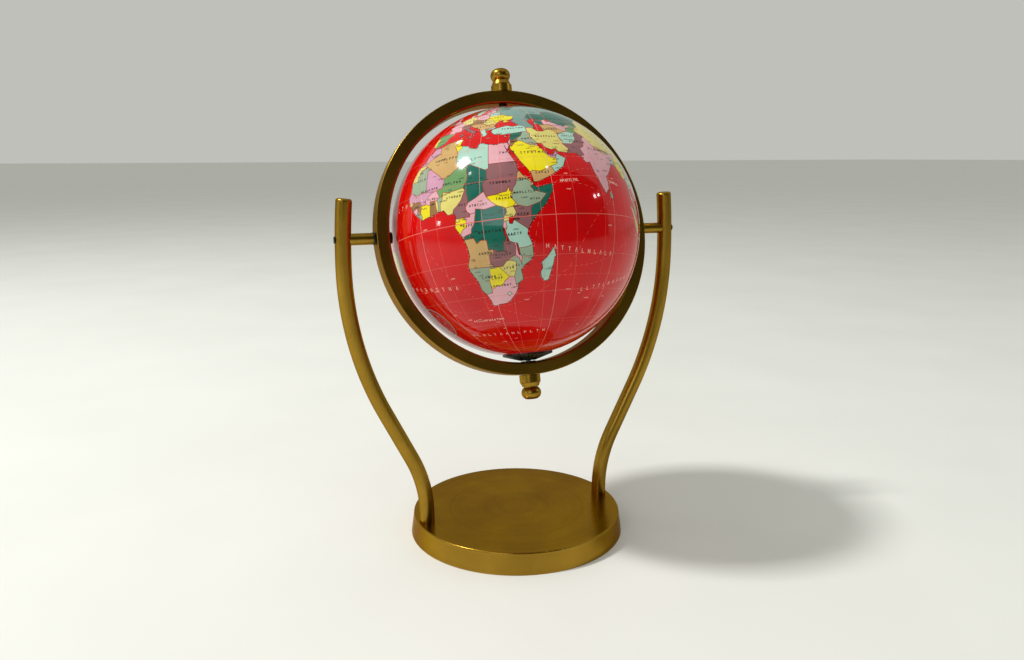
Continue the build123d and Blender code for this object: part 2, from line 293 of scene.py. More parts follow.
def upright(tree, place):
    """Coordinates with the hoop stood upright and the ball's centre at the origin."""
    return add_node(tree, "Mapping", {"vector_type": "TEXTURE"}, {
        "Vector": place, "Location": ball_centre, "Rotation": (-lean, 0.0, 0.0)}), 0


def hoop_grain(tree, place):
    """Brush lines that run round the hoop: they change with its radius and depth only."""
    parts = add_node(tree, "SeparateXYZ", None, {0: upright(tree, place)})
    flat = add_node(tree, "CombineXYZ", None, {0: (parts, 0), 1: (parts, 2)})
    radius = add_node(tree, "VectorMath", {"operation": "LENGTH"}, {0: (flat, 0)})
    return add_node(tree, "CombineXYZ", None, {0: (radius, 1), 1: (parts, 1)}), 0


wear(antique_brass("Antiqued brass, bent flat bar", hoop_grain, 0.27), "meridian_ring")


# ---- Polar rod, finials and pole bushes --------------------------------------------------
# A plain steel rod runs through both poles.  A turned brass finial screws on to each end of
# it outside the hoop, and a flanged brass bush in each pole of the ball turns on it.
def finial_grain(tree, place):
    """Brush lines that run round the polar rod: they change with radius and height only."""
    return turned_grain(tree, upright(tree, place))


wear(plated_steel, "polar_rod")
wear(antique_brass("Antiqued brass, turned finial", finial_grain, 0.24),
     "north_finial", "south_finial", "north_pole_bush", "south_pole_bush")


# ---- Ball shells and joint band ----------------------------------------------------------
# Two moulded half shells joined over a glued band of grey board.  The map covers all of it,
# so it only shows if the paper is taken off: plain, pale and slightly pitted.
def plain_moulding(name, dark, light, size_mm):
    """A plain unpainted surface in two close tones with a shallow grain."""
    material, tree, surface, place = new_material(name)
    grain = add_node(tree, "TexNoise", None, {
        "Vector": place, "Scale": per_mm(size_mm), "Detail": 5.0, "Roughness": 0.65})
    colour = add_node(tree, "Mix", {"data_type": "RGBA"}, {
        0: (grain, 0), 6: linear(dark), 7: linear(light)})
    relief = add_node(tree, "Bump", None, {
        "Height": (grain, 0), "Strength": 0.2, "Distance": 0.0001})
    tree.links.new(colour.outputs[2], surface.inputs["Base Color"])
    tree.links.new(relief.outputs[0], surface.inputs["Normal"])
    surface.inputs["Roughness"].default_value = 0.6
    return material


wear(plain_moulding("Moulded polystyrene", "#C9C0AC", "#DAD3C2", 2.0),
     "globe_north_shell", "globe_south_shell")
wear(plain_moulding("Grey board", "#7E7668", "#A09784", 0.6), "globe_joint_band")


# ---- South cap ---------------------------------------------------------------------------
# A black moulded cap with flutes fanning out from its hub.  It hides the point where the map
# gores meet and turns with the ball on the thrust washer.
def moulded_black(name):
    """Black moulded ABS: dark with a soft gloss that picks out the flutes."""
    material, tree, surface, place = new_material(name)
    dust = add_node(tree, "TexNoise", None, {"Vector": place, "Scale": per_mm(0.7), "Detail": 6.0})
    dusty = add_node(tree, "MapRange", None, {
        "Value": (dust, 0), "From Min": 0.5, "From Max": 0.8, "To Max": 0.4})
    colour = add_node(tree, "Mix", {"data_type": "RGBA"}, {
        0: (dusty, 0), 6: linear("#0B0D0B"), 7: linear("#4A4D47")})
    relief = add_node(tree, "Bump", None, {
        "Height": (dust, 0), "Strength": 0.1, "Distance": 0.00005})
    tree.links.new(colour.outputs[2], surface.inputs["Base Color"])
    tree.links.new(relief.outputs[0], surface.inputs["Normal"])
    surface.inputs["Roughness"].default_value = 0.33
    surface.inputs["IOR"].default_value = 1.54
    return material


wear(moulded_black("Black moulded ABS"), "south_cap")


# ---- Map paper ---------------------------------------------------------------------------
# Twelve printed paper gores glued over the shells and sealed under clear gloss lacquer.  The
# seas are red, each country has its own flat tint, and lines and words are printed over them.
paper_low, paper_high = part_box("globe_map_paper")
hair = 0.00001
ball_radius = min(paper_high - paper_low) / 2 - hair
paper_thickness = 0.0003
paper_end_latitude = 87.0
paper_seam = -169.0
facing_longitude = 55.7

print_colours = {
    "sea": "#CE0509", "tan": "#C4A064", "mint": "#A6CDBB", "pink": "#DDA6AE",
    "mauve": "#8E5F62", "teal": "#1F6656", "green": "#6C9860", "sage": "#93A68C",
    "lilac": "#C894AC", "straw": "#D8CC72", "yellow": "#E9D81C", "brown": "#916C42",
    "slate": "#6F958C", "border": "#8E2A1E", "coast": "#241410", "graticule": "#DD6A5E",
    "gore_join": "#EBAC9E", "words": "#2A2119", "sea_words": "#F2B9A9", "sea_line": "#E2705F",
    "rose": "#8E8A85",
}

# longitude and latitude of each corner, one after the other, round each outline
land_outlines = {
    "africa": [
        -5.9, 35.8, -2, 35.1, 1.5, 36.5, 5, 36.8, 10, 37.3, 11, 36.9, 10.1, 34, 11.2, 33.2, 15.2, 32.3,
        15.7, 31.3, 19, 30.3, 20, 31, 20, 32.2, 21.7, 32.9, 23.2, 32.2, 25.2, 31.6, 29, 30.9, 31, 31.5,
        32.4, 31.2, 34.3, 31.4, 34.9, 29.5, 34.3, 27.8, 33.3, 28.3, 32.6, 29.9, 33.6, 27.4, 35.5, 24,
        37.2, 21, 37.3, 18.8, 39.2, 15.8, 41.2, 14.6, 43.1, 12.5, 43.3, 11.5, 44.5, 10.4, 47, 11.1,
        51.2, 11.9, 50.8, 9.3, 49, 6.5, 47, 3.9, 44.5, 1.5, 42.6, -0.3, 40.1, -3.3, 39.2, -4.8,
        38.8, -6.5, 39.6, -8.2, 40.5, -10.6, 40.6, -14.8, 39, -16.8, 36.9, -17.9, 34.9, -19.9,
        35.5, -23.8, 32.9, -25.6, 32.6, -27.6, 31, -30, 28.2, -32.8, 25.6, -34, 22, -34.2, 20, -34.8,
        18.4, -34.2, 18.2, -32, 17, -29.3, 15.2, -26.8, 14.5, -22.8, 12, -18, 11.8, -16, 13.5, -12.4,
        13.2, -9, 12.3, -6.1, 11, -3.9, 9, -1, 9.5, 1, 9.8, 3.2, 8.9, 4.5, 7.2, 4.3, 6.1, 4.2, 4.4, 6.3,
        1.2, 6.1, -2, 4.8, -4, 5.2, -7.6, 4.4, -9.3, 5.7, -11.4, 6.9, -13.2, 8.6, -14.8, 10.8,
        -16.7, 12.4, -17.4, 14.7, -16.3, 17, -16.2, 19.2, -17, 21, -16, 23.8, -14.5, 26.2, -12.9, 27.9,
        -10, 29.6, -9.6, 31.4, -7, 33.8],
    "madagascar": [
        49.3, -12, 50.4, -15.5, 49.7, -16, 49.3, -18.2, 47.1, -24.9, 45.2, -25.5, 43.7, -23.5,
        43.4, -21.5, 44.4, -20, 44, -17.5, 46.3, -15.8, 48, -13.8],
    "eurasia": [
        -5.6, 36, -8.9, 37, -9.4, 38.7, -8.8, 41, -9.2, 43.1, -5.8, 43.6, -1.8, 43.4, -1.2, 45.8,
        -2.6, 47.4, -4.7, 48.4, -1.5, 48.7, -1.8, 49.6, 0.2, 49.5, 1.6, 50.9, 3.5, 51.4, 4.8, 53,
        7, 53.5, 8.7, 53.9, 8.1, 55.6, 8.3, 57, 10.6, 57.7, 10.2, 56.2, 10.9, 54.4, 14.3, 53.9,
        18.5, 54.8, 21, 55.7, 21.6, 57.5, 24.2, 57.2, 23.5, 59, 27.8, 59.5, 30, 60, 28, 60.6, 23, 59.9,
        21.3, 61, 21.5, 63, 25.3, 65, 24, 65.8, 21.5, 64.5, 17.5, 62, 17.3, 60.7, 18.8, 59.8, 16.7, 58,
        16, 56.2, 14.3, 55.5, 12.8, 55.5, 11.3, 58.8, 10.5, 59.3, 8, 58.1, 5.5, 58.8, 5, 61, 8.5, 63.6,
        12.5, 66, 15, 68.3, 19, 70, 25.8, 71.1, 31, 70.4, 33, 69.4, 41, 67.5, 40.5, 66.4, 33, 66.7,
        37, 64, 40, 64.6, 44, 66, 44, 68.4, 46, 67, 54, 68.4, 60, 69, 68, 68.3, 67, 71, 70, 73, 73, 71.5,
        72, 67, 75, 68, 74, 72.5, 80, 72.3, 86, 74, 98, 76, 104, 77.7, 113, 74, 120, 73, 128, 72.5,
        130, 71, 140, 72.5, 152, 71, 160, 69.6, 170, 70, 178, 69.3, 184, 67.5, 190, 66.1, 186, 64.5,
        180.5, 62.5, 174, 61.8, 170, 60, 163.5, 59.8, 163, 56, 160, 53, 156.8, 51, 156, 54, 156, 57.5,
        163, 62.3, 160, 61, 155, 59.4, 149, 59.5, 142, 59.2, 135.5, 54.8, 140.5, 53.5, 141, 52.3,
        140.3, 48, 135.5, 43.8, 132, 43.2, 130.6, 42.3, 128, 40, 129.3, 37, 129, 35.2, 126.4, 34.5,
        126.7, 37, 125, 38, 124.5, 40, 121.2, 39, 121.8, 40.8, 118, 39.2, 119, 37.2, 122.5, 37.2,
        119.5, 35, 121.8, 31.8, 122, 29.5, 120, 26.5, 117, 23.5, 113.5, 22.1, 110.5, 21.2, 108, 21.6,
        105.8, 19, 108.8, 15.5, 109.3, 12, 107, 10.5, 104.9, 8.7, 105, 10.3, 102.5, 12, 101, 13.3,
        99.9, 12, 99.3, 9.3, 102.3, 6.2, 103.4, 4, 104.2, 1.4, 103.4, 1.4, 101, 3, 100.3, 6.2, 98.4, 8,
        98.6, 12, 97.6, 16.5, 95.3, 15.9, 94.4, 18, 92.2, 20.8, 90.5, 22.3, 88.2, 21.7, 86.8, 20.6,
        82.3, 16.6, 80.2, 15.3, 80.3, 13, 79.8, 10.3, 78.2, 8.9, 77.5, 8.1, 76.3, 9.8, 74.8, 13,
        73.4, 16.5, 72.8, 19, 72.6, 21.3, 70.8, 20.8, 69, 22.3, 70, 23, 67.5, 23.9, 66.6, 25.3,
        61.6, 25.1, 57.3, 25.7, 56.5, 27.1, 54, 26.6, 51.5, 27.9, 50.2, 30, 48.6, 30, 48, 29.5,
        48.8, 27.8, 50.1, 26.6, 50.8, 24.8, 51.2, 26.1, 51.6, 25, 51.5, 24.3, 54, 24.1, 56.3, 26.2,
        56.6, 24.4, 59.8, 22.5, 58.5, 20.4, 57.7, 19, 55.3, 17.4, 52.2, 15.6, 49, 14.2, 45, 12.8,
        43.4, 12.7, 42.8, 16.2, 41, 19, 39.1, 21.5, 37.2, 25, 35.2, 28, 34.9, 29.5, 34.4, 31.5, 35, 32.8,
        35.9, 35, 36.1, 36.7, 34, 36.3, 32.4, 36.1, 30.6, 36.7, 28.2, 36.7, 26.4, 38.3, 26.2, 39.5,
        27, 40.3, 29.1, 40.8, 31.4, 41.3, 35, 42, 38, 41, 41.5, 41.6, 39, 44, 37.5, 45.5, 39.2, 47.1,
        35, 46.3, 36.5, 45.3, 33.6, 44.5, 32.6, 45.4, 33.5, 46.1, 31, 46.6, 29.7, 45.2, 28.6, 43.8,
        27.8, 42.5, 28.9, 41.4, 26.8, 40.6, 23.8, 40.3, 22.7, 40.3, 24, 38, 23.2, 36.6, 21.6, 36.8,
        21.2, 38.3, 19.4, 40.6, 19.5, 42, 16.5, 43.5, 13.7, 45, 12.3, 45.3, 12.5, 44, 14, 42.6, 16, 41.8,
        18.4, 40.1, 17, 40.5, 16.6, 38.8, 15.7, 38, 15.8, 39.7, 14.3, 40.7, 12.3, 41.8, 10.3, 43.5,
        8.8, 44.4, 6.5, 43.1, 3.2, 43.2, 3.2, 42, 0.2, 40.4, -0.2, 38.8, -2.1, 36.7, -4.5, 36.6],
    "britain": [
        -5.2, 50.1, -3.5, 50.3, 1.3, 51.2, 1.7, 52.7, 0.2, 53.2, -1.4, 54.8, -2, 57.4, -3.2, 58.6,
        -5.2, 58.5, -5.5, 56.5, -3.2, 54.8, -4.5, 53.3, -4.6, 51.8, -3, 51.4],
    "ireland": [-6, 52.2, -9.8, 51.6, -9.8, 53.9, -8, 55.2, -5.7, 54.5],
    "iceland": [-22.5, 63.9, -18.8, 63.4, -13.7, 65, -16, 66.5, -22, 66.3, -24, 65.4],
    "sicily": [12.5, 38, 15.6, 38.2, 15.1, 36.7],
    "sardinia": [8.2, 40.8, 9.7, 40.9, 9.6, 39.2, 8.4, 39],
    "corsica": [8.6, 42.4, 9.5, 42.9, 9.2, 41.4],
    "crete": [23.6, 35.6, 26.3, 35.2, 24.8, 34.9],
    "cyprus": [32.4, 35, 34.5, 35.6, 33.6, 34.7],
    "ceylon": [79.9, 9.7, 81.3, 8.5, 81.8, 7, 80.6, 5.9, 79.8, 7.5],
    "honshu": [
        130.2, 31.5, 131.5, 31.4, 132, 33.5, 135.5, 33.6, 138.8, 34.7, 140.8, 35.7, 141.9, 39.5,
        141.3, 41.4, 140, 40, 138.5, 37.4, 135.8, 35.6, 132.6, 35.4, 130.8, 34, 129.8, 32.8],
    "hokkaido": [140, 41.5, 143.3, 42, 145.5, 43.3, 142, 45.5, 141, 43.2],
    "sakhalin": [142, 46, 143.5, 49, 142.9, 54.3, 142, 52],
    "taiwan": [120.2, 22.8, 121, 25, 121.9, 25, 120.9, 22],
    "hainan": [108.7, 19.2, 110.9, 20, 110, 18.4],
    "luzon": [120.3, 16, 120.6, 18.5, 122.2, 18.4, 121.7, 15.5, 124, 13, 121, 13.6],
    "mindanao": [122, 7, 123.5, 10.5, 125.5, 9.8, 126.5, 7.2, 125.3, 5.7],
    "borneo": [
        109, 1.5, 111.5, 2.8, 115, 5, 117, 7, 119, 5, 117.8, 2, 116.3, -1.5, 116, -4, 113, -3.2,
        110.2, -2.8],
    "sumatra": [
        95.3, 5.6, 98.5, 3.8, 103.5, -0.5, 106, -3, 105.8, -5.8, 104.3, -5.8, 101, -2.5, 98.7, 1.7],
    "java": [105.3, -6.8, 108.5, -6.7, 112.7, -6.8, 114.4, -7.8, 114.4, -8.6, 108.8, -7.7],
    "celebes": [
        119.5, -5.5, 119, -3, 119.8, 0.7, 125, 1.5, 120.5, 0.2, 121.3, -1, 123.3, -1, 121.6, -2.2,
        122.5, -4.8],
    "new guinea": [
        131, -0.8, 134, -0.9, 135, -3.3, 138, -1.7, 144, -3.9, 147.8, -6, 150.8, -10.4, 147, -9.5,
        143.5, -8.8, 141, -9.1, 138, -8.3, 138.3, -6.5, 133, -4],
    "australia": [
        114, -22, 114, -26.5, 115.7, -31.8, 115.2, -34.2, 118, -35, 123.5, -34, 129, -31.6, 131.5, -31.5,
        135.2, -34.7, 137.8, -32.8, 138.3, -35.5, 140.5, -38, 146.4, -39, 150, -37.4, 151.3, -33.5,
        153.5, -28.5, 152.5, -25, 149, -21, 146.2, -18.9, 145.4, -15, 142.6, -10.8, 141.5, -13.5,
        140.8, -17.5, 137, -15.8, 135.5, -15, 136.8, -12.2, 132.6, -11.4, 130, -13, 129.5, -14.9,
        126, -14, 122.3, -17.2, 121, -19.5, 117, -20.7],
    "tasmania": [144.7, -40.9, 148.2, -41, 147.3, -43.5, 145.8, -43],
    "north island": [
        172.8, -34.5, 175.5, -36.8, 178.4, -37.7, 176.9, -40, 175.2, -41.5, 173.8, -39.3, 174.8, -37.8],
    "south island": [
        172.8, -40.6, 174.2, -41.8, 171.2, -44, 170.7, -45.9, 168.3, -46.6, 166.6, -45.8, 170.5, -43],
    "north america": [
        -168, 65.6, -162, 66.3, -166.5, 68.3, -156.5, 71.3, -141, 69.7, -128, 70, -115, 68.5, -108, 68,
        -96, 68, -94, 71.8, -88, 68.5, -82, 69.5, -81.5, 67.5, -87, 65.5, -94.5, 60.8, -94.5, 58.8,
        -92.5, 57, -85, 55.3, -82.3, 53, -79.5, 51.2, -79, 54.5, -76.8, 57, -78, 62.3, -73, 62,
        -69.5, 59, -65, 60.2, -61.5, 57, -56, 52, -60, 50.2, -66.5, 50.2, -71, 46.8, -65, 49.2,
        -64.5, 47, -61, 45.5, -65.8, 43.6, -67, 44.9, -70.5, 43, -70, 41.8, -74, 40.5, -76, 37,
        -75.6, 35.3, -78.5, 33.8, -81.2, 31.5, -80.1, 26, -81.2, 25.2, -82.8, 28, -84.2, 30, -89.5, 30.2,
        -90, 29.1, -94, 29.6, -97.3, 27.5, -97.6, 22, -96, 19, -94.5, 18.2, -91.5, 18.6, -90.4, 21,
        -87, 21.4, -88.2, 17.5, -88.6, 15.8, -83.4, 15, -83.7, 11, -81, 8.9, -77.4, 8.5, -77.8, 7.4,
        -80, 7.5, -83, 8.4, -85.8, 10.5, -87.6, 13, -92.2, 14.6, -95, 16, -101.5, 17.7, -105.5, 20.3,
        -109.4, 26, -112.8, 30, -114.7, 31.6, -112, 27, -109.5, 23, -112.2, 25.5, -115, 28, -117.1, 32.6,
        -120.6, 34.6, -124, 40, -124, 46, -124.7, 48.4, -122.5, 48, -128, 51.5, -133, 55.5, -139.5, 59.6,
        -146, 60.8, -151.5, 59.4, -150.5, 61.2, -154, 58.8, -163, 54.8, -158, 58.6, -162, 59.3,
        -165, 61.5, -161, 64.4, -166.3, 64.6],
    "south america": [
        -77.4, 8.5, -75, 10.8, -71.6, 12.3, -71, 11, -68, 11, -62, 10.7, -60, 8.5, -57, 6, -51.8, 4.5,
        -50, 1, -48.5, -1, -44, -2.5, -39.5, -3, -35.3, -5.3, -34.9, -8, -37, -11.5, -39, -13.5,
        -39.2, -18, -41, -22, -44.5, -23.2, -48.5, -26, -48.8, -28.5, -52.2, -32.5, -54.5, -34.8,
        -58.3, -34, -56.8, -36.4, -57.8, -38.2, -62.2, -39, -62.3, -40.9, -65, -41, -63.7, -42.7,
        -65.5, -45, -67.5, -46.3, -65.8, -47.9, -69, -51, -68.3, -52.5, -65.2, -54.8, -69, -55.3,
        -74.5, -51.5, -75.5, -46.7, -73, -42, -73.4, -37.2, -71.5, -33, -71.3, -29, -70.2, -20,
        -71.5, -17.5, -76.2, -14, -79.5, -8, -81.2, -6, -80, -3, -81, -1, -80, 0.8, -77.5, 4, -77.8, 7.4],
    "greenland": [
        -45, 60, -42.5, 62.5, -40, 65, -32, 68.2, -22, 70.5, -19, 76, -12, 81.5, -30, 83.5, -60, 82,
        -68, 80, -73, 78.3, -68, 76, -58, 75.4, -54.5, 71, -53.5, 67, -51, 63.5, -48, 61],
    "baffin": [-61.5, 66.5, -68, 70.3, -78, 73.5, -89, 73, -84, 70, -73, 68.3, -74, 64.5, -66, 62],
    "victoria": [-117, 73, -105, 73.5, -101, 69, -116, 69.5],
    "ellesmere": [-90, 76.5, -78, 76.5, -62, 82.3, -75, 83, -92, 81],
    "newfoundland": [-59.3, 47.7, -53, 46.8, -55.5, 51.5],
    "cuba": [-84.8, 22, -80.5, 23.1, -74.2, 20.2, -77.7, 19.9],
    "hispaniola": [-74.3, 18.4, -72.8, 19.9, -68.4, 18.6, -71.6, 17.8],
    "spitsbergen": [11, 79, 20, 80, 21, 78.5, 16.5, 76.7],
    "novaya zemlya": [51.6, 71.7, 55, 75, 68, 76.7, 58, 71],
}
inland_water = {
    "caspian": [
        47, 45, 51, 46.8, 53, 45.3, 51, 44.5, 50.5, 42.5, 53, 41.5, 53.9, 39, 53.8, 37, 50.5, 37,
        49, 38.5, 49.5, 40.5, 47.7, 42.8],
    "aral": [58.5, 45, 60.5, 46.5, 61, 44.5, 59, 43.8],
    "victoria": [31.8, -2, 33, -2.3, 34, -0.5, 33.5, 0.4, 32, 0.2],
    "tanganyika": [29.1, -3.4, 29.6, -3.6, 31.1, -8.5, 30.5, -8.6, 29.4, -6],
    "nyasa": [33.9, -9.6, 34.4, -9.8, 35.1, -14, 34.5, -14, 34.1, -12],
    "baikal": [103.8, 51.6, 109.5, 54.5, 109.5, 55.6, 106, 52.8],
    "superior": [-92, 46.8, -88, 48.6, -84.6, 46.7, -88, 46.8],
    "michigan": [-87.7, 42, -86.3, 42, -85.2, 44.8, -87.3, 45],
    "huron": [-83.3, 45, -82, 43.5, -80.5, 45.5, -83.5, 46],
}
# the tint of a landmass wherever no country below is printed over it
plain_tints = {
    "eurasia": "slate", "britain": "pink", "ireland": "green", "iceland": "yellow", "sicily": "mauve",
    "sardinia": "mauve", "honshu": "pink", "hokkaido": "pink", "taiwan": "straw", "hainan": "straw",
    "madagascar": "mint", "ceylon": "sage", "luzon": "lilac", "mindanao": "lilac", "australia": "straw",
    "tasmania": "straw", "north america": "pink", "baffin": "pink", "victoria": "pink",
    "ellesmere": "pink", "newfoundland": "pink", "greenland": "mint", "south america": "yellow",
    "north island": "green", "south island": "green", "new guinea": "sage", "sakhalin": "slate",
    "spitsbergen": "sage", "novaya zemlya": "slate", "cuba": "lilac",
}
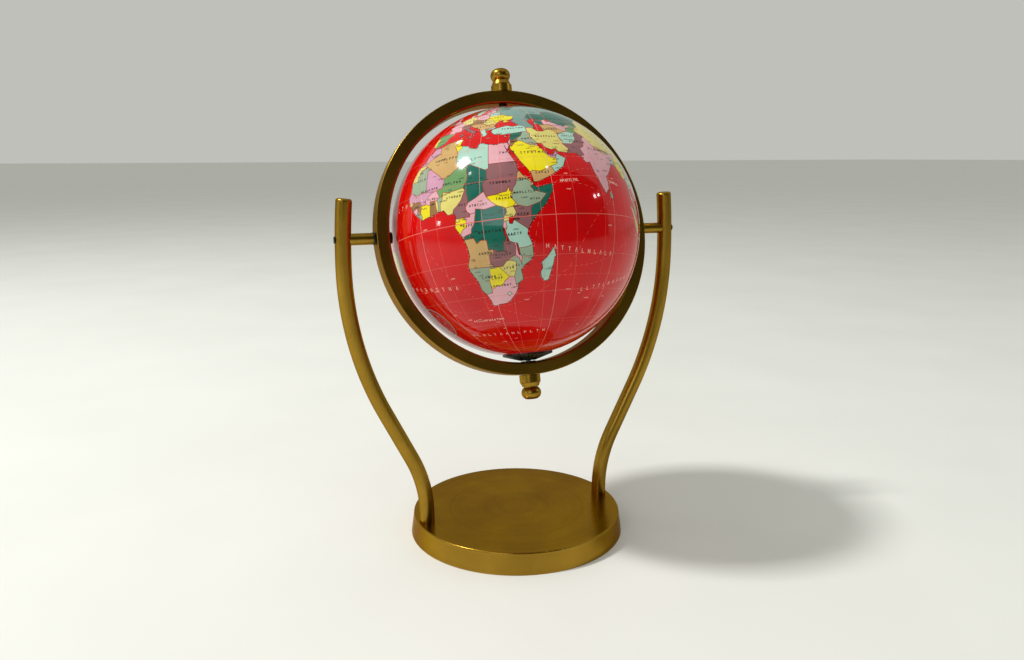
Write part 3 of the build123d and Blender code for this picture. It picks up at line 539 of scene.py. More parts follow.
# each country's tint, then its corners; a side out at sea is cut off by the coast
countries = [
    ("lilac", [
        -18, 27.7, -8.7, 27.7, -8.7, 28.7, -3.6, 31, -1.2, 32.3, -1.8, 34.8, -2.2, 36, -6, 35.9, -8, 37,
        -18, 30]),
    ("straw", [-18, 21.3, -13, 21.3, -13, 23.5, -12, 23.5, -12, 26, -8.7, 26, -8.7, 27.7, -18, 27.7]),
    ("tan", [
        -8.7, 27.3, -4.8, 25, 1.2, 21.1, 3.2, 19, 5.8, 19.5, 12, 23.5, 10, 24.5, 9.5, 26.5, 9.9, 28.8,
        9.5, 30.3, 7.5, 33.5, 8.3, 35, 8.6, 37.5, -2.2, 37, -1.8, 34.8, -1.2, 32.3, -3.6, 31, -8.7, 28.7]),
    ("yellow", [8.6, 37.5, 8.3, 35, 7.5, 33.5, 9.5, 30.3, 11.5, 32.5, 11.6, 33.2, 12, 35, 12, 38]),
    ("mint", [
        9.5, 30.3, 9.9, 28.8, 9.5, 26.5, 10, 24.5, 12, 23.5, 14.2, 22.6, 15.9, 23.4, 24, 19.5, 24, 20,
        25, 20, 25, 33, 12, 34, 11.6, 33.2, 11.5, 32.5]),
    ("pink", [25, 22, 36.9, 22, 36, 28, 34.9, 29.5, 34.3, 31.3, 34, 33, 25, 33]),
    ("sage", [
        -18, 21.3, -13, 21.3, -13, 23.4, -12, 23.4, -12, 25.9, -8.7, 25.9, -8.7, 27.3, -4.8, 25,
        -6.5, 25, -5.5, 16.5, -5.6, 15.5, -9.5, 15.3, -12.2, 14.8, -14.5, 16.6, -18, 16]),
    ("lilac", [
        -6.5, 25, -4.8, 25, 1.2, 21.1, 3.2, 19, 4.2, 19.2, 4.2, 16.8, 3.5, 15.4, 0.4, 15, -2, 14.2,
        -4, 13.2, -5.5, 11.8, -6, 10.2, -8, 10.3, -9, 12.2, -11.4, 12.2, -12.2, 14.8, -9.5, 15.3,
        -5.6, 15.5, -5.5, 16.5]),
    ("green", [
        4.2, 19.2, 5.8, 19.5, 12, 23.5, 14.2, 22.6, 15, 21.5, 15.5, 18, 15.4, 16.7, 13.6, 13.7, 10, 13.2,
        7, 13, 4, 13.5, 3.6, 11.7, 2.3, 12, 0.4, 15, 3.5, 15.4, 4.2, 16.8]),
    ("teal", [
        15.9, 23.4, 24, 19.5, 24, 15.7, 22.2, 14, 22.5, 11, 19, 9, 15.5, 7.5, 15.5, 9.8, 14.2, 10,
        15, 11, 14.5, 12.8, 13.6, 13.7, 15.4, 16.7, 15.5, 18, 15, 21.5, 14.2, 22.6]),
    ("mauve", [
        25, 22, 36.9, 22, 38.5, 18, 37, 17, 36.4, 14.2, 36, 12.6, 34.5, 10.8, 33.9, 9.5, 33, 10.2,
        33, 12, 32, 10, 28, 9.4, 24.5, 8.9, 23.5, 8.8, 22.5, 11, 22.2, 14, 24, 15.7, 24, 20, 25, 20]),
    ("yellow", [
        23.5, 8.8, 28, 9.4, 32, 10, 33, 12, 33, 10.2, 33.9, 9.5, 33.2, 7.8, 35.2, 5.4, 34, 4.2, 31, 3.7,
        29.5, 4.4, 27.4, 5.1, 25, 7]),
    ("sage", [
        36.4, 14.3, 37.9, 14.8, 40.2, 14.4, 42.4, 12.5, 41.8, 11, 43, 9.5, 48, 8, 45, 5, 42, 4.1,
        39.5, 3.4, 36, 4.4, 35.2, 5.4, 33.2, 7.8, 34.2, 8.5, 34.5, 10.8, 36, 12.6]),
    ("tan", [36.9, 17, 38.5, 18.2, 43.2, 12.7, 42.4, 12.5, 40.2, 14.4, 37.9, 14.8, 36.4, 14.3]),
    ("teal", [
        43, 9.5, 41.8, 11, 43, 12, 52, 12.5, 52, 8, 42, -2, 41, -1.7, 41, 2.8, 42, 4.1, 45, 5, 48, 8]),
    ("mauve", [
        34, 4.2, 36, 4.4, 39.5, 3.4, 42, 4.1, 41, 2.8, 41, -1.7, 41.5, -2.5, 39.5, -5, 37.7, -3.6,
        34, -1, 34, 0.5, 35, 2]),
    ("straw", [31, 3.7, 34, 4.2, 35, 1.8, 34, 0.3, 34, -1, 30.5, -1, 29.6, -1.4, 30, 0.5, 31.2, 2.2]),
    ("mint", [
        30.5, -1, 34, -1, 37.7, -3.6, 39.5, -5, 41, -7, 41, -10.5, 38, -11.3, 34.6, -11.5, 34, -9.5,
        32.8, -9.3, 30.8, -8.3, 29.5, -6, 30.8, -3.3, 30.5, -2.4]),
    ("pink", [30.5, -1.2, 30.8, -3.3, 29.5, -4.4, 29, -2.7, 29.6, -1.4]),
    ("teal", [
        12, -6, 16.5, -5.9, 17.5, -8.1, 19.5, -7, 21.8, -7.3, 22, -11, 24, -11, 26, -12, 28.5, -12.3,
        29.7, -13.4, 29.8, -12.2, 28.5, -11.8, 28.7, -8.5, 30.8, -8.3, 29.5, -6, 29.2, -3, 29.6, -1.4,
        30, 0.5, 31.2, 2.2, 30.8, 3.5, 29.5, 4.4, 27.4, 5.1, 22.5, 4.2, 18.6, 4.8, 18.5, 3.5, 18, 1.5,
        17.7, -0.5, 16.2, -2.2, 15.8, -4, 13, -4.6]),
    ("pink", [
        11, -4, 12.3, -5.1, 13, -4.6, 15.8, -4, 16.2, -2.2, 17.7, -0.5, 18, 1.5, 18.5, 3.5, 16.2, 3.2,
        16, 2.2, 13.3, 2.2, 14.3, 1, 14, -1.5, 12.5, -2, 11.6, -3]),
    ("yellow", [
        8.5, 1, 11.3, 1, 11.3, 2.2, 13.3, 2.2, 14.3, 1, 14, -1.5, 12.5, -2, 11.6, -3, 11, -4, 8, -1]),
    ("mauve", [
        8.5, 4.5, 8.9, 5.8, 10.5, 7, 12.5, 8.8, 13.5, 11, 14.5, 12.8, 15, 11, 15.5, 9.8, 15.5, 7.5,
        14.5, 6, 14.7, 4.5, 16.2, 3.2, 16, 2.2, 9.5, 2.2, 8, 3.5]),
    ("pink", [
        15.5, 7.5, 19, 9, 22.5, 11, 23.5, 8.8, 25, 7, 27.4, 5.1, 22.5, 4.2, 18.6, 4.8, 18.5, 3.5,
        16.2, 3.2, 14.7, 4.5, 14.5, 6]),
    ("straw", [
        2.7, 6, 2.7, 9, 3.8, 11.7, 4, 13.5, 7, 13, 10, 13.2, 13.6, 13.7, 14.5, 12.8, 13.5, 11, 12.5, 8.8,
        10.5, 7, 8.9, 5.8, 8.5, 4.2, 6, 3.5, 3, 5.5]),
    ("sage", [1.6, 6, 1.6, 9.2, 0.9, 10.8, 2.3, 12, 3.6, 11.7, 3.8, 10.8, 2.7, 9, 2.7, 6]),
    ("brown", [-3, 5, -2.8, 9, -2.9, 11, 0, 11, 0.5, 8, 1.2, 6]),
    ("pink", [
        -5.5, 11.8, -4, 13.2, -2, 14.2, 0.4, 15, 2.3, 12, 0.9, 10.9, -2.9, 11, -2.8, 9.6, -5.3, 10.3]),
    ("yellow", [-8.3, 10.2, -6, 10.2, -5.3, 10.3, -2.8, 9.6, -3, 5, -7.6, 4, -7.5, 5.8, -8.4, 7.5]),
    ("sage", [-11.5, 6.8, -10, 8.5, -8.4, 7.5, -7.5, 5.8, -7.6, 4, -10, 5]),
    ("pink", [-13.3, 9, -11, 10, -10.3, 8.5, -11.5, 6.8, -13.5, 7.5]),
    ("brown", [
        -15, 11, -13.7, 12.6, -11.4, 12.2, -9, 12.2, -8, 10.3, -8.4, 7.5, -10.3, 8.5, -11, 10, -13.3, 9,
        -15, 10]),
    ("lilac", [-18, 16, -14.5, 16.6, -12.2, 14.8, -11.4, 12.2, -13.7, 12.6, -18, 12.4]),
    ("tan", [
        12, -6, 16.5, -5.9, 17.5, -8.1, 19.5, -7, 21.8, -7.3, 22, -11, 24, -11, 24, -13, 22, -13,
        22, -16.2, 23.4, -17.6, 18.5, -17.4, 14, -17.4, 11.5, -17.3, 11, -8]),
    ("mauve", [
        22, -13, 24, -13, 24, -11, 26, -12, 28.5, -12.3, 29.7, -13.4, 29.8, -12.2, 28.5, -11.8,
        28.7, -8.5, 30.8, -8.3, 32.8, -9.3, 33.5, -10.5, 33, -14, 30.2, -15, 30.4, -15.7, 28.9, -16,
        27, -17.9, 25.2, -17.7, 23.4, -17.6, 22, -16.2]),
    ("pink", [
        32.8, -9.3, 34, -9.5, 34.6, -11.5, 34.9, -13.6, 35.8, -15, 35.2, -17.1, 34.3, -15, 33, -14,
        33.5, -10.5]),
    ("sage", [
        34.6, -11.5, 38, -11.3, 41, -10.5, 42, -15, 36, -19, 36.5, -24, 33, -27, 32.1, -26.8, 32, -25.7,
        31.5, -22.4, 32.9, -19, 33, -16.5, 30.4, -15.7, 30.2, -15, 33, -14, 34.3, -15, 35.2, -17.1,
        35.8, -15, 34.9, -13.6]),
    ("straw", [
        25.2, -17.8, 27, -17.9, 28.9, -16, 30.4, -15.7, 33, -16.5, 32.9, -19, 31.5, -22.4, 29.4, -22.2,
        27.7, -20.5]),
    ("yellow", [
        20, -22, 21, -22, 21, -18.3, 23.4, -17.9, 25.2, -17.8, 27.7, -20.5, 29.4, -22.2, 26.8, -24,
        25.6, -25.7, 22.8, -25.5, 20.7, -26.9, 20, -24.8]),
    ("sage", [
        11.5, -17.3, 14, -17.4, 18.5, -17.4, 23.4, -17.6, 25.2, -17.8, 23.4, -18.2, 21, -18.3, 21, -22,
        20, -22, 20, -28.4, 17.4, -28.8, 16.4, -28.6, 14, -27, 12, -20]),
    ("pink", [
        15, -28.6, 17.4, -28.8, 20, -28.4, 20, -24.8, 20.7, -26.9, 22.8, -25.5, 25.6, -25.7, 26.8, -24,
        29.4, -22.2, 31.5, -22.4, 32, -25.7, 32.1, -26.8, 34, -27, 34, -36, 15, -36]),
    ("mint", [27, -29.6, 28.5, -28.6, 29.4, -29.6, 28, -30.6]),
    ("yellow", [
        34.5, 29.3, 36, 29.2, 37.5, 31, 39.2, 32.1, 42, 31, 44.7, 29.2, 46.5, 29.1, 48.5, 28.5, 50.5, 27,
        50.8, 24.8, 51.6, 24.3, 52.6, 22.9, 55.2, 22.7, 55, 20, 52, 19, 47, 17, 43.4, 17.5, 42.7, 16.4,
        41, 16, 34, 27]),
    ("tan", [42, 16.4, 43.4, 17.5, 47, 17, 52, 19, 53.1, 16.6, 53, 15, 45, 12, 42.5, 12.5]),
    ("mint", [
        52, 19, 55, 20, 55.2, 22.7, 55.8, 24.2, 56.4, 24.9, 57, 26.5, 60.5, 22.5, 56, 16, 53.1, 16.6]),
    ("lilac", [51.6, 24.3, 52.6, 22.9, 55.2, 22.7, 55.8, 24.2, 56.4, 24.9, 56.2, 26.3, 54, 25]),
    ("mint", [50.8, 24.6, 51.7, 24.6, 51.4, 26.3]),
    ("pink", [46.5, 29.1, 48.5, 28.5, 48.7, 30.2, 47.7, 30.1]),
    ("sage", [
        38.8, 33.4, 41, 34.5, 42.4, 37.1, 44.8, 37.2, 46, 35.5, 45.5, 34, 47.8, 31, 48.6, 30, 46.5, 29.1,
        44.7, 29.2, 42, 31, 39.2, 32.1]),
    ("brown", [35, 29.4, 36, 29.2, 37.5, 31, 39.2, 32.1, 38.8, 33.4, 36.8, 32.3, 35.6, 32.7, 35.5, 31]),
    ("pink", [34.2, 31.3, 34.9, 29.5, 35.5, 31, 35.6, 33.2, 34.8, 33.3]),
    ("teal", [
        35.6, 32.7, 36.8, 32.3, 38.8, 33.4, 41, 34.5, 42.4, 37.1, 40, 36.8, 36.7, 36.5, 35.5, 35.9,
        35.8, 34.5]),
    ("mint", [
        25.8, 42, 28, 42.1, 31, 42, 35, 42.5, 41.5, 41.6, 43.5, 41.1, 44.8, 39.7, 44.8, 37.2, 42.4, 37.1,
        40, 36.8, 36.7, 36.5, 36, 35.8, 30, 35.8, 25.5, 37, 25.8, 40]),
    ("straw", [
        44.8, 39.7, 48, 39.5, 49, 38.4, 54, 37.4, 57, 38.2, 61.2, 36.6, 60.6, 34, 61, 31.5, 61.8, 31,
        60.9, 29.8, 63.2, 27.2, 61.6, 25, 57, 25, 50, 28, 48.6, 30, 47.8, 31, 45.5, 34, 46, 35.5,
        44.8, 37.2]),
    ("mint", [
        61.2, 35.3, 64.5, 36.5, 67, 37.3, 71, 38.3, 71.5, 36.8, 74.8, 37.2, 71.2, 36, 71, 34, 69.4, 32,
        66.3, 29.8, 60.9, 29.8, 61.8, 31, 60.6, 34]),
    ("mauve", [
        61.6, 25, 63.2, 27.2, 60.9, 29.8, 66.3, 29.8, 69.4, 32, 71, 34, 71.2, 36, 74.8, 37, 77.5, 35.5,
        74.5, 32.8, 75, 32.2, 73, 29, 70, 27.8, 71, 24.5, 68.2, 23.6, 66, 24]),
    ("pink", [
        68.2, 23.6, 71, 24.5, 70, 27.8, 73, 29, 75, 32.2, 74.5, 32.8, 77.5, 35.5, 79, 33, 78.8, 31.3,
        81, 30.2, 80.2, 28.8, 84, 27.4, 88.1, 26.4, 88.8, 28, 89.7, 26.7, 92, 27.5, 97.3, 28.3, 95, 26.3,
        93.3, 24, 92.3, 22, 91.5, 24, 89, 25.3, 88.8, 22, 88, 15, 79.6, 9, 78, 5, 72, 10, 68, 20]),
    ("tan", [80.2, 28.8, 81, 30.2, 88.1, 27.9, 88.1, 26.4, 84, 27.4]),
    ("mint", [88.8, 22, 89, 25.3, 92.3, 24.5, 92.3, 21, 90.5, 21.5]),
    ("tan", [
        52.5, 41.5, 56, 42, 60, 41.5, 66.5, 37.4, 64.5, 36.5, 61.2, 35.3, 61.2, 36.6, 57, 38.2, 54, 37.4,
        53, 39]),
    ("pink", [
        56, 41.5, 56, 45, 58.5, 45.6, 62, 43.5, 66, 42, 68.5, 41, 71, 42.2, 73, 40.7, 69, 40, 68, 38.5,
        67.8, 37.3, 66.5, 37.4, 60, 41.5]),
    ("green", [
        69, 40, 73, 40.7, 71, 42.2, 74, 43, 80, 42.2, 73.8, 39.4, 74.8, 37.2, 71.5, 36.8, 67.8, 37.3,
        68, 38.5]),
    ("teal", [
        47, 48, 49, 46, 53, 42, 56, 41.5, 56, 45, 58.5, 45.6, 62, 43.5, 66, 42, 68.5, 41, 71, 42.2,
        74, 43, 80, 42.2, 80.5, 45, 83, 47, 87.5, 49, 83, 51, 77, 54, 70, 55.3, 61, 53.5, 60, 50.7,
        55, 51, 50, 51.5]),
    ("straw", [
        73.8, 39.4, 80, 42.2, 80.5, 45, 83, 47, 87.5, 49, 91, 46.5, 96, 42.8, 105, 41.6, 112, 43.5,
        119.7, 46.7, 116.5, 49.8, 120, 53.3, 126, 53, 131, 48, 135, 48.4, 131, 45, 130.6, 42.3, 128, 42,
        124.3, 40, 123, 20, 109, 15, 108, 21.6, 102, 22.4, 98, 25, 97.3, 28.3, 92, 27.5, 88.8, 28,
        81, 30.2, 78.8, 31.3, 79, 33, 77.5, 35.5, 74.8, 37.2]),
    ("brown", [
        87.5, 49, 92, 50.7, 98, 50.5, 106, 50.3, 116.5, 49.8, 119.7, 46.7, 112, 43.5, 105, 41.6,
        96, 42.8, 91, 46.5]),
    ("green", [
        -9.5, 44.5, -1.8, 43.4, 3.3, 42.4, 4, 41, 0, 36, -6, 35, -7.4, 37, -7, 39.7, -6.3, 41.5, -8.8, 42]),
    ("yellow", [-10, 42, -8.8, 42, -6.3, 41.5, -7, 39.7, -7.4, 37, -9.5, 36.5]),
    ("pink", [
        -6, 49, -1.8, 50.5, 2.5, 51.1, 6, 49.5, 8.2, 49, 7.5, 47.6, 6.1, 46.3, 7, 45.5, 7.5, 43.8,
        9.5, 43, 9, 41, 3.2, 42.4, -1.8, 43.4, -3, 45]),
    ("mauve", [
        6.8, 45.8, 10.5, 46.8, 13.5, 46.5, 13.7, 45.5, 19.5, 41, 18.5, 39, 16, 36.5, 12, 37, 7.5, 38,
        8, 41, 9.6, 41.5, 10, 43, 7.6, 43.8]),
    ("straw", [
        3, 51.4, 7, 54, 8.6, 55, 11, 54.8, 14.3, 54.2, 14.8, 51, 12.5, 50.3, 13.5, 48.6, 12, 47.6,
        7.5, 47.6, 8.2, 49, 6, 49.5, 2.5, 51.1]),
    ("pink", [
        14.3, 54.2, 18.5, 55.2, 22.8, 54.4, 23.8, 52.5, 24, 50.5, 22.6, 49.1, 19, 49.5, 15, 50.8,
        14.8, 51]),
    ("brown", [
        6.1, 46.3, 7.5, 47.6, 12, 47.6, 13.5, 48.6, 12.5, 50.3, 14.8, 51, 19, 49.5, 22.6, 49.1, 22.5, 48,
        20.5, 46.1, 16.5, 46.3, 13.5, 46.5, 10.5, 46.8, 6.8, 45.8]),
    ("tan", [
        13.5, 46.5, 16.5, 46.3, 20.5, 46.1, 22.5, 44.5, 28.6, 43.8, 28, 42, 26.3, 41.7, 22.9, 41.3,
        21, 41, 19.5, 39.5, 19, 42, 13.5, 45]),
    ("straw", [20.5, 46.1, 22.5, 48, 26.5, 48.2, 28.2, 45.5, 29.9, 45.3, 28.6, 43.8, 22.5, 44.5]),
    ("mint", [19.5, 39.5, 21, 41, 22.9, 41.3, 26.3, 41.7, 26.5, 40, 25.5, 37, 27, 34.5, 21, 36]),
    ("yellow", [
        22.6, 49.1, 24, 50.5, 24, 51.7, 31, 51.9, 34, 52.2, 35.5, 50.4, 40, 49.6, 38.3, 47.1, 36.5, 45,
        33, 44.3, 30, 45.3, 28.2, 45.5, 26.5, 48.2, 22.5, 48]),
    ("mint", [24, 51.7, 24, 54, 26.5, 55.7, 31, 55.6, 31.5, 53.2, 31, 51.9]),
    ("pink", [21, 55.4, 22.8, 54.4, 24, 54, 26.5, 55.7, 28, 56.5, 28, 59.5, 23.5, 59.7, 21, 57.8]),
    ("brown", [5, 58, 11.3, 59, 12.3, 61, 14.5, 65, 20, 69, 25.5, 69, 29, 69.7, 31, 70.5, 25, 72, 3, 63]),
    ("mint", [11.3, 59, 12.3, 61, 14.5, 65, 20, 69, 24, 66, 20, 62, 19, 59, 15, 55, 12, 55.5]),
    ("lilac", [20, 69, 25.5, 69, 29, 69.7, 30, 63, 28, 60.4, 20, 59.5, 20, 62, 24, 66]),
    ("pink", [8, 55, 11, 54.8, 11.5, 58, 8, 57.5]),
    ("yellow", [
        92.2, 21, 93.3, 24, 95, 26.3, 97.3, 28.3, 98, 25, 99, 22, 101, 21.3, 97.5, 18, 99, 15, 98.6, 10,
        95, 14, 92, 18]),
    ("mint", [
        97.5, 18, 100.3, 20.3, 101, 17.8, 104, 18.2, 105.5, 14.5, 102.5, 13.5, 102, 12, 100, 9, 101, 6.2,
        99, 6.5, 98, 8.5, 99, 15]),
    ("pink", [
        100.3, 20.3, 102, 22.4, 108, 21.6, 110, 15, 109, 11, 104.5, 8, 102.5, 12, 102.5, 13.5,
        105.5, 14.5, 104, 18.2, 101, 17.8]),
    ("sage", [100, 6.5, 101, 6.2, 103, 6.5, 105, 1, 102.5, 1.5]),
    ("sage", [109.5, 2, 112, 1.5, 115, 2.5, 117.8, 4.3, 119.5, 5, 116, 7.5, 113, 4]),
    ("yellow", [124.5, 40, 128, 42, 130.6, 42.3, 130, 34, 126, 34]),
    ("tan", [112, -12, 129, -12, 129, -36, 112, -36]),
    ("mint", [129, -10, 138, -10, 138, -26, 129, -26]),
    ("pink", [138, -9, 154, -9, 154, -28.5, 149, -29, 141, -29, 141, -26, 138, -26]),
    ("mint", [
        -124.7, 48.4, -123, 49, -95, 49, -88.5, 48.2, -84.5, 46.5, -82.5, 43, -79, 43.3, -75, 45,
        -71.5, 45.2, -69, 47.3, -67, 45, -69, 41, -75, 34, -79.5, 25, -82, 24.5, -88, 28.5, -97.2, 25.8,
        -101, 29.5, -103, 29, -106.5, 31.7, -111, 31.3, -114.8, 32.5, -117.1, 32.5, -121.5, 34, -126, 40]),
    ("mint", [
        -141, 71, -141, 60.2, -133, 55.3, -140, 58, -155, 54, -168.5, 54, -168.5, 66, -167, 69, -157, 72]),
    ("tan", [
        -117.1, 32.5, -114.8, 32.5, -111, 31.3, -106.5, 31.7, -103, 29, -101, 29.5, -97.2, 25.8, -96, 20,
        -89, 22, -86, 22, -88, 18, -91, 17.5, -92.2, 14.4, -106, 19, -118, 30]),
    ("pink", [-92.2, 14.4, -91, 17.5, -88, 18, -83, 15.5, -77.4, 8.9, -77.9, 7.2, -83, 7, -88, 12]),
    ("teal", [
        -77.4, 8.7, -72, 12.5, -72.5, 7.5, -67.5, 6.2, -67, 1.2, -70, 0.5, -70, -4.2, -75, 0, -79, 1.5,
        -78, 7]),
    ("green", [-72, 12.5, -60, 9.5, -60.7, 5.2, -63.5, 2, -67, 1.2, -67.5, 6.2, -72.5, 7.5]),
    ("tan", [-60.2, 9, -51.5, 4.3, -54.5, 2.3, -59.5, 1.5, -60.7, 5.2]),
    ("pink", [-81.5, -3.5, -78.5, -5, -75, 0, -79, 1.5, -82, 0]),
    ("mint", [
        -81.8, -4, -78.5, -5, -75, 0, -70, -4.2, -73.5, -7.5, -70.5, -9.5, -69, -12, -69.5, -17.5,
        -71, -18.5, -77, -15]),
    ("mauve", [
        -70.5, -9.5, -65.3, -9.8, -60.3, -15, -58, -17.5, -58, -20, -62.5, -22.2, -67.5, -22.8,
        -69.5, -17.5, -69, -12]),
    ("straw", [-58, -20, -54.3, -24.2, -54.7, -26.8, -58.5, -27.2, -62.5, -22.2]),
    ("sage", [
        -71, -18.5, -69.5, -17.5, -67.5, -22.8, -68.5, -26, -70.3, -33, -72, -42, -73, -50, -69, -52.3,
        -67, -56, -77, -52, -74, -37, -72, -20]),
    ("lilac", [
        -67.5, -22.8, -62.5, -22.2, -58.5, -27.2, -54.7, -26.8, -58, -30, -58, -34, -55.5, -37, -62, -56,
        -69, -52.3, -73, -50, -72, -42, -70.3, -33, -68.5, -26]),
    ("tan", [-58, -33.8, -58, -30.2, -53.5, -33, -54, -36]),
]
# the edge of the southern ice, printed as a single line from seam to seam
antarctic_coast = [
    -169, -78.5, -165, -78.5, -158, -77, -145, -75.5, -130, -74, -110, -74.5, -100, -72.5, -85, -73,
    -75, -73, -68, -68, -57.5, -63.3, -62, -68, -61, -74, -50, -78, -35, -78, -25, -74, -10, -71,
    10, -70, 35, -69, 52, -66, 70, -68, 85, -66.5, 110, -66, 130, -66, 150, -68.5, 170, -71.5, 165, -78,
    187, -78.5, 191, -78.5]
# each ocean's name: its size, its middle's longitude and latitude, its letters and their spacing
ocean_names = [
    ("large", -33, 12, 14, 12), ("large", -22, -22, 13, 12), ("large", 63, -14, 11, 10),
    ("large", 82, -28, 10, 10), ("large", -150, 22, 12, 14), ("large", -130, -26, 11, 14),
    ("large", -40, 40, 10, 10), ("large", 20, -52, 13, 9), ("large", 120, -48, 13, 9),
    ("large", -110, -55, 13, 9), ("middle", 59, 13, 9, 3), ("middle", 84, 13, 8, 2.6),
    ("middle", 158, 20, 12, 5), ("middle", -78, 15, 9, 3), ("middle", 12, -42, 12, 4),
]
# one millimetre along the equator of the ball, in degrees, at 57.3 degrees to the radian
degrees_per_mm = 57.3 / (ball_radius * 1000)
# how wide each kind of printed line is, in millimetres
line_mm = {
    "coast": 0.34, "border": 0.3, "ice edge": 0.3, "meridian": 0.13, "parallel": 0.15,
    "equator": 0.4, "gore join": 0.16, "lane": 0.15, "shading": 0.12, "town dot": 0.42,
    "town letter": 0.24, "ocean letter": 0.3,
}
random.seed(7)


def pairs(numbers):
    """Longitude and latitude pairs from a plain run of numbers."""
    return list(zip(numbers[0::2], numbers[1::2]))


def outline_of(numbers):
    """A closed outline from a plain run of numbers, always wound against the clock."""
    corners = pairs(numbers)
    turn = sum(a[0] * b[1] - b[0] * a[1] for a, b in zip(corners, corners[1:] + corners[:1]))
    return corners if turn > 0 else corners[::-1]


def squeeze(latitude):
    """How much narrower a degree of longitude is here than at the equator."""
    return max(math.cos(math.radians(latitude)), 0.05)


def stroke(start, end, width_mm):
    """A printed line between two places, as the four corners of a thin quad."""
    narrow = squeeze((start[1] + end[1]) / 2)
    east, north = (end[0] - start[0]) * narrow, end[1] - start[1]
    length = math.hypot(east, north)
    if length < 1e-6:
        return None
    half = width_mm * degrees_per_mm / 2
    east, north = east / length * half, north / length * half
    ahead, aside = Vector((east / narrow, north)) * 0.5, Vector((-north / narrow, east))
    start, end = Vector(start) - ahead, Vector(end) + ahead
    return [start + aside, start - aside, end - aside, end + aside]


def cut_flat(points, edges, faces, places_apart):
    """Cuts overlapping outlines into one flat sheet: its points, its triangles, and for each
    triangle the numbers of the outlines that it lies in."""
    triangles_only = 1
    sheet = delaunay_2d_cdt([Vector(p) for p in points], edges, faces, triangles_only, places_apart, True)
    return sheet[0], sheet[2], sheet[5]


def numbered(outlines):
    """All the corners of some outlines in one list, and each outline as numbers in that list."""
    points, faces = [], []
    for outline in outlines:
        faces.append(list(range(len(points), len(points) + len(outline))))
        points += outline
    return points, faces


lands = [outline_of(numbers) for numbers in land_outlines.values()]
waters = [outline_of(numbers) for numbers in inland_water.values()]
borders = [outline_of(numbers) for tint, numbers in countries]
tints = [plain_tints.get(name, "straw") for name in land_outlines] + [tint for tint, numbers in countries]
outline_points, outline_faces = numbered(lands + borders + waters)
tint_points, tint_faces, tint_sources = cut_flat(outline_points, [], outline_faces, 1e-5)
first_border, first_water = len(lands), len(lands) + len(borders)


def country_of(inside):
    """Which tint a piece of the sheet gets, as an index, or -1 for sea."""
    if any(i >= first_water for i in inside) or not any(i < first_border for i in inside):
        return -1
    return max(inside)


edge_owners = {}
for face, inside in zip(tint_faces, tint_sources):
    country = country_of(inside)
    for a, b in zip(face, face[1:] + face[:1]):
        edge_owners.setdefault((min(a, b), max(a, b)), []).append(country)

# what is printed on the tints, the later over the earlier: each is an ink and its corners
print_jobs = []
for (a, b), owners in edge_owners.items():
    owners = owners if len(owners) == 2 else owners + [-1]
    if owners[0] != owners[1]:
        ink = "coast" if -1 in owners else "border"
        print_jobs.append((ink, stroke(tint_points[a], tint_points[b], line_mm[ink])))
for a, b in zip(pairs(antarctic_coast), pairs(antarctic_coast)[1:]):
    print_jobs.append(("graticule", stroke(a, b, line_mm["ice edge"])))


def over_land(place):
    """Whether a place is on land, counted by how often a line due east crosses the coasts."""
    inside = False
    for outline in lands:
        for (x0, y0), (x1, y1) in zip(outline, outline[1:] + outline[:1]):
            if (y0 > place[1]) != (y1 > place[1]):
                inside ^= place[0] < x0 + (place[1] - y0) / (y1 - y0) * (x1 - x0)
    return inside


def glyph_strokes(height, width):
    """A made-up letter: a few upright, level and slanting strokes in its box."""
    left_stem, right_stem = ((0, 0), (0, height)), ((width, 0), (width, height))
    foot, head = ((0, 0), (width, 0)), ((0, height), (width, height))
    bar, slant = ((0, height / 2), (width, height / 2)), ((0, height), (width, 0))
    peak = (width / 2, height)
    shapes = [
        [left_stem, head, bar], [left_stem, foot], [left_stem, right_stem, bar],
        [((0, 0), peak), ((width, 0), peak)], [left_stem, right_stem, slant],
        [((width / 2, 0), peak), head],
    ]
    return random.choice(shapes)


def word(ink, middle, letters, height_mm, pitch_mm, weight_mm, tilt=0.0, bow=0.0):
    """A greeked word centred on a place, running east and rising with its tilt and bow."""
    narrow = squeeze(middle[1])
    for number in range(letters):
        along = (number - (letters - 1) / 2) * pitch_mm
        rise = along * tilt + bow * along * along
        width_mm = height_mm * 0.62
        for start, end in glyph_strokes(height_mm, width_mm):
            ends = [(middle[0] + (along + x - width_mm / 2) * degrees_per_mm / narrow,
                     middle[1] + (rise + y - height_mm / 2) * degrees_per_mm) for x, y in (start, end)]
            print_jobs.append((ink, stroke(ends[0], ends[1], weight_mm)))


def small_word(ink, place, letters, size_mm=0.5):
    """A place name too small to read: a dot and a row of short uneven uprights."""
    narrow = squeeze(place[1])
    size = size_mm * degrees_per_mm
    dot_end = (place[0] + 0.3 * size / narrow, place[1])
    print_jobs.append((ink, stroke(place, dot_end, line_mm["town dot"])))
    for number in range(letters):
        x = place[0] + (1.6 + number * 0.95) * size / narrow
        top = place[1] + size * random.choice((0.5, 0.5, 0.9))
        foot = (x, place[1] - size * 0.5)
        print_jobs.append((ink, stroke(foot, (x, top), line_mm["town letter"])))


def off_the_shore(place):
    """The place moved a fiftieth of the way to the middle of Africa, to leave the coast it is on."""
    return place[0] * 0.98 + 0.4, place[1] * 0.98


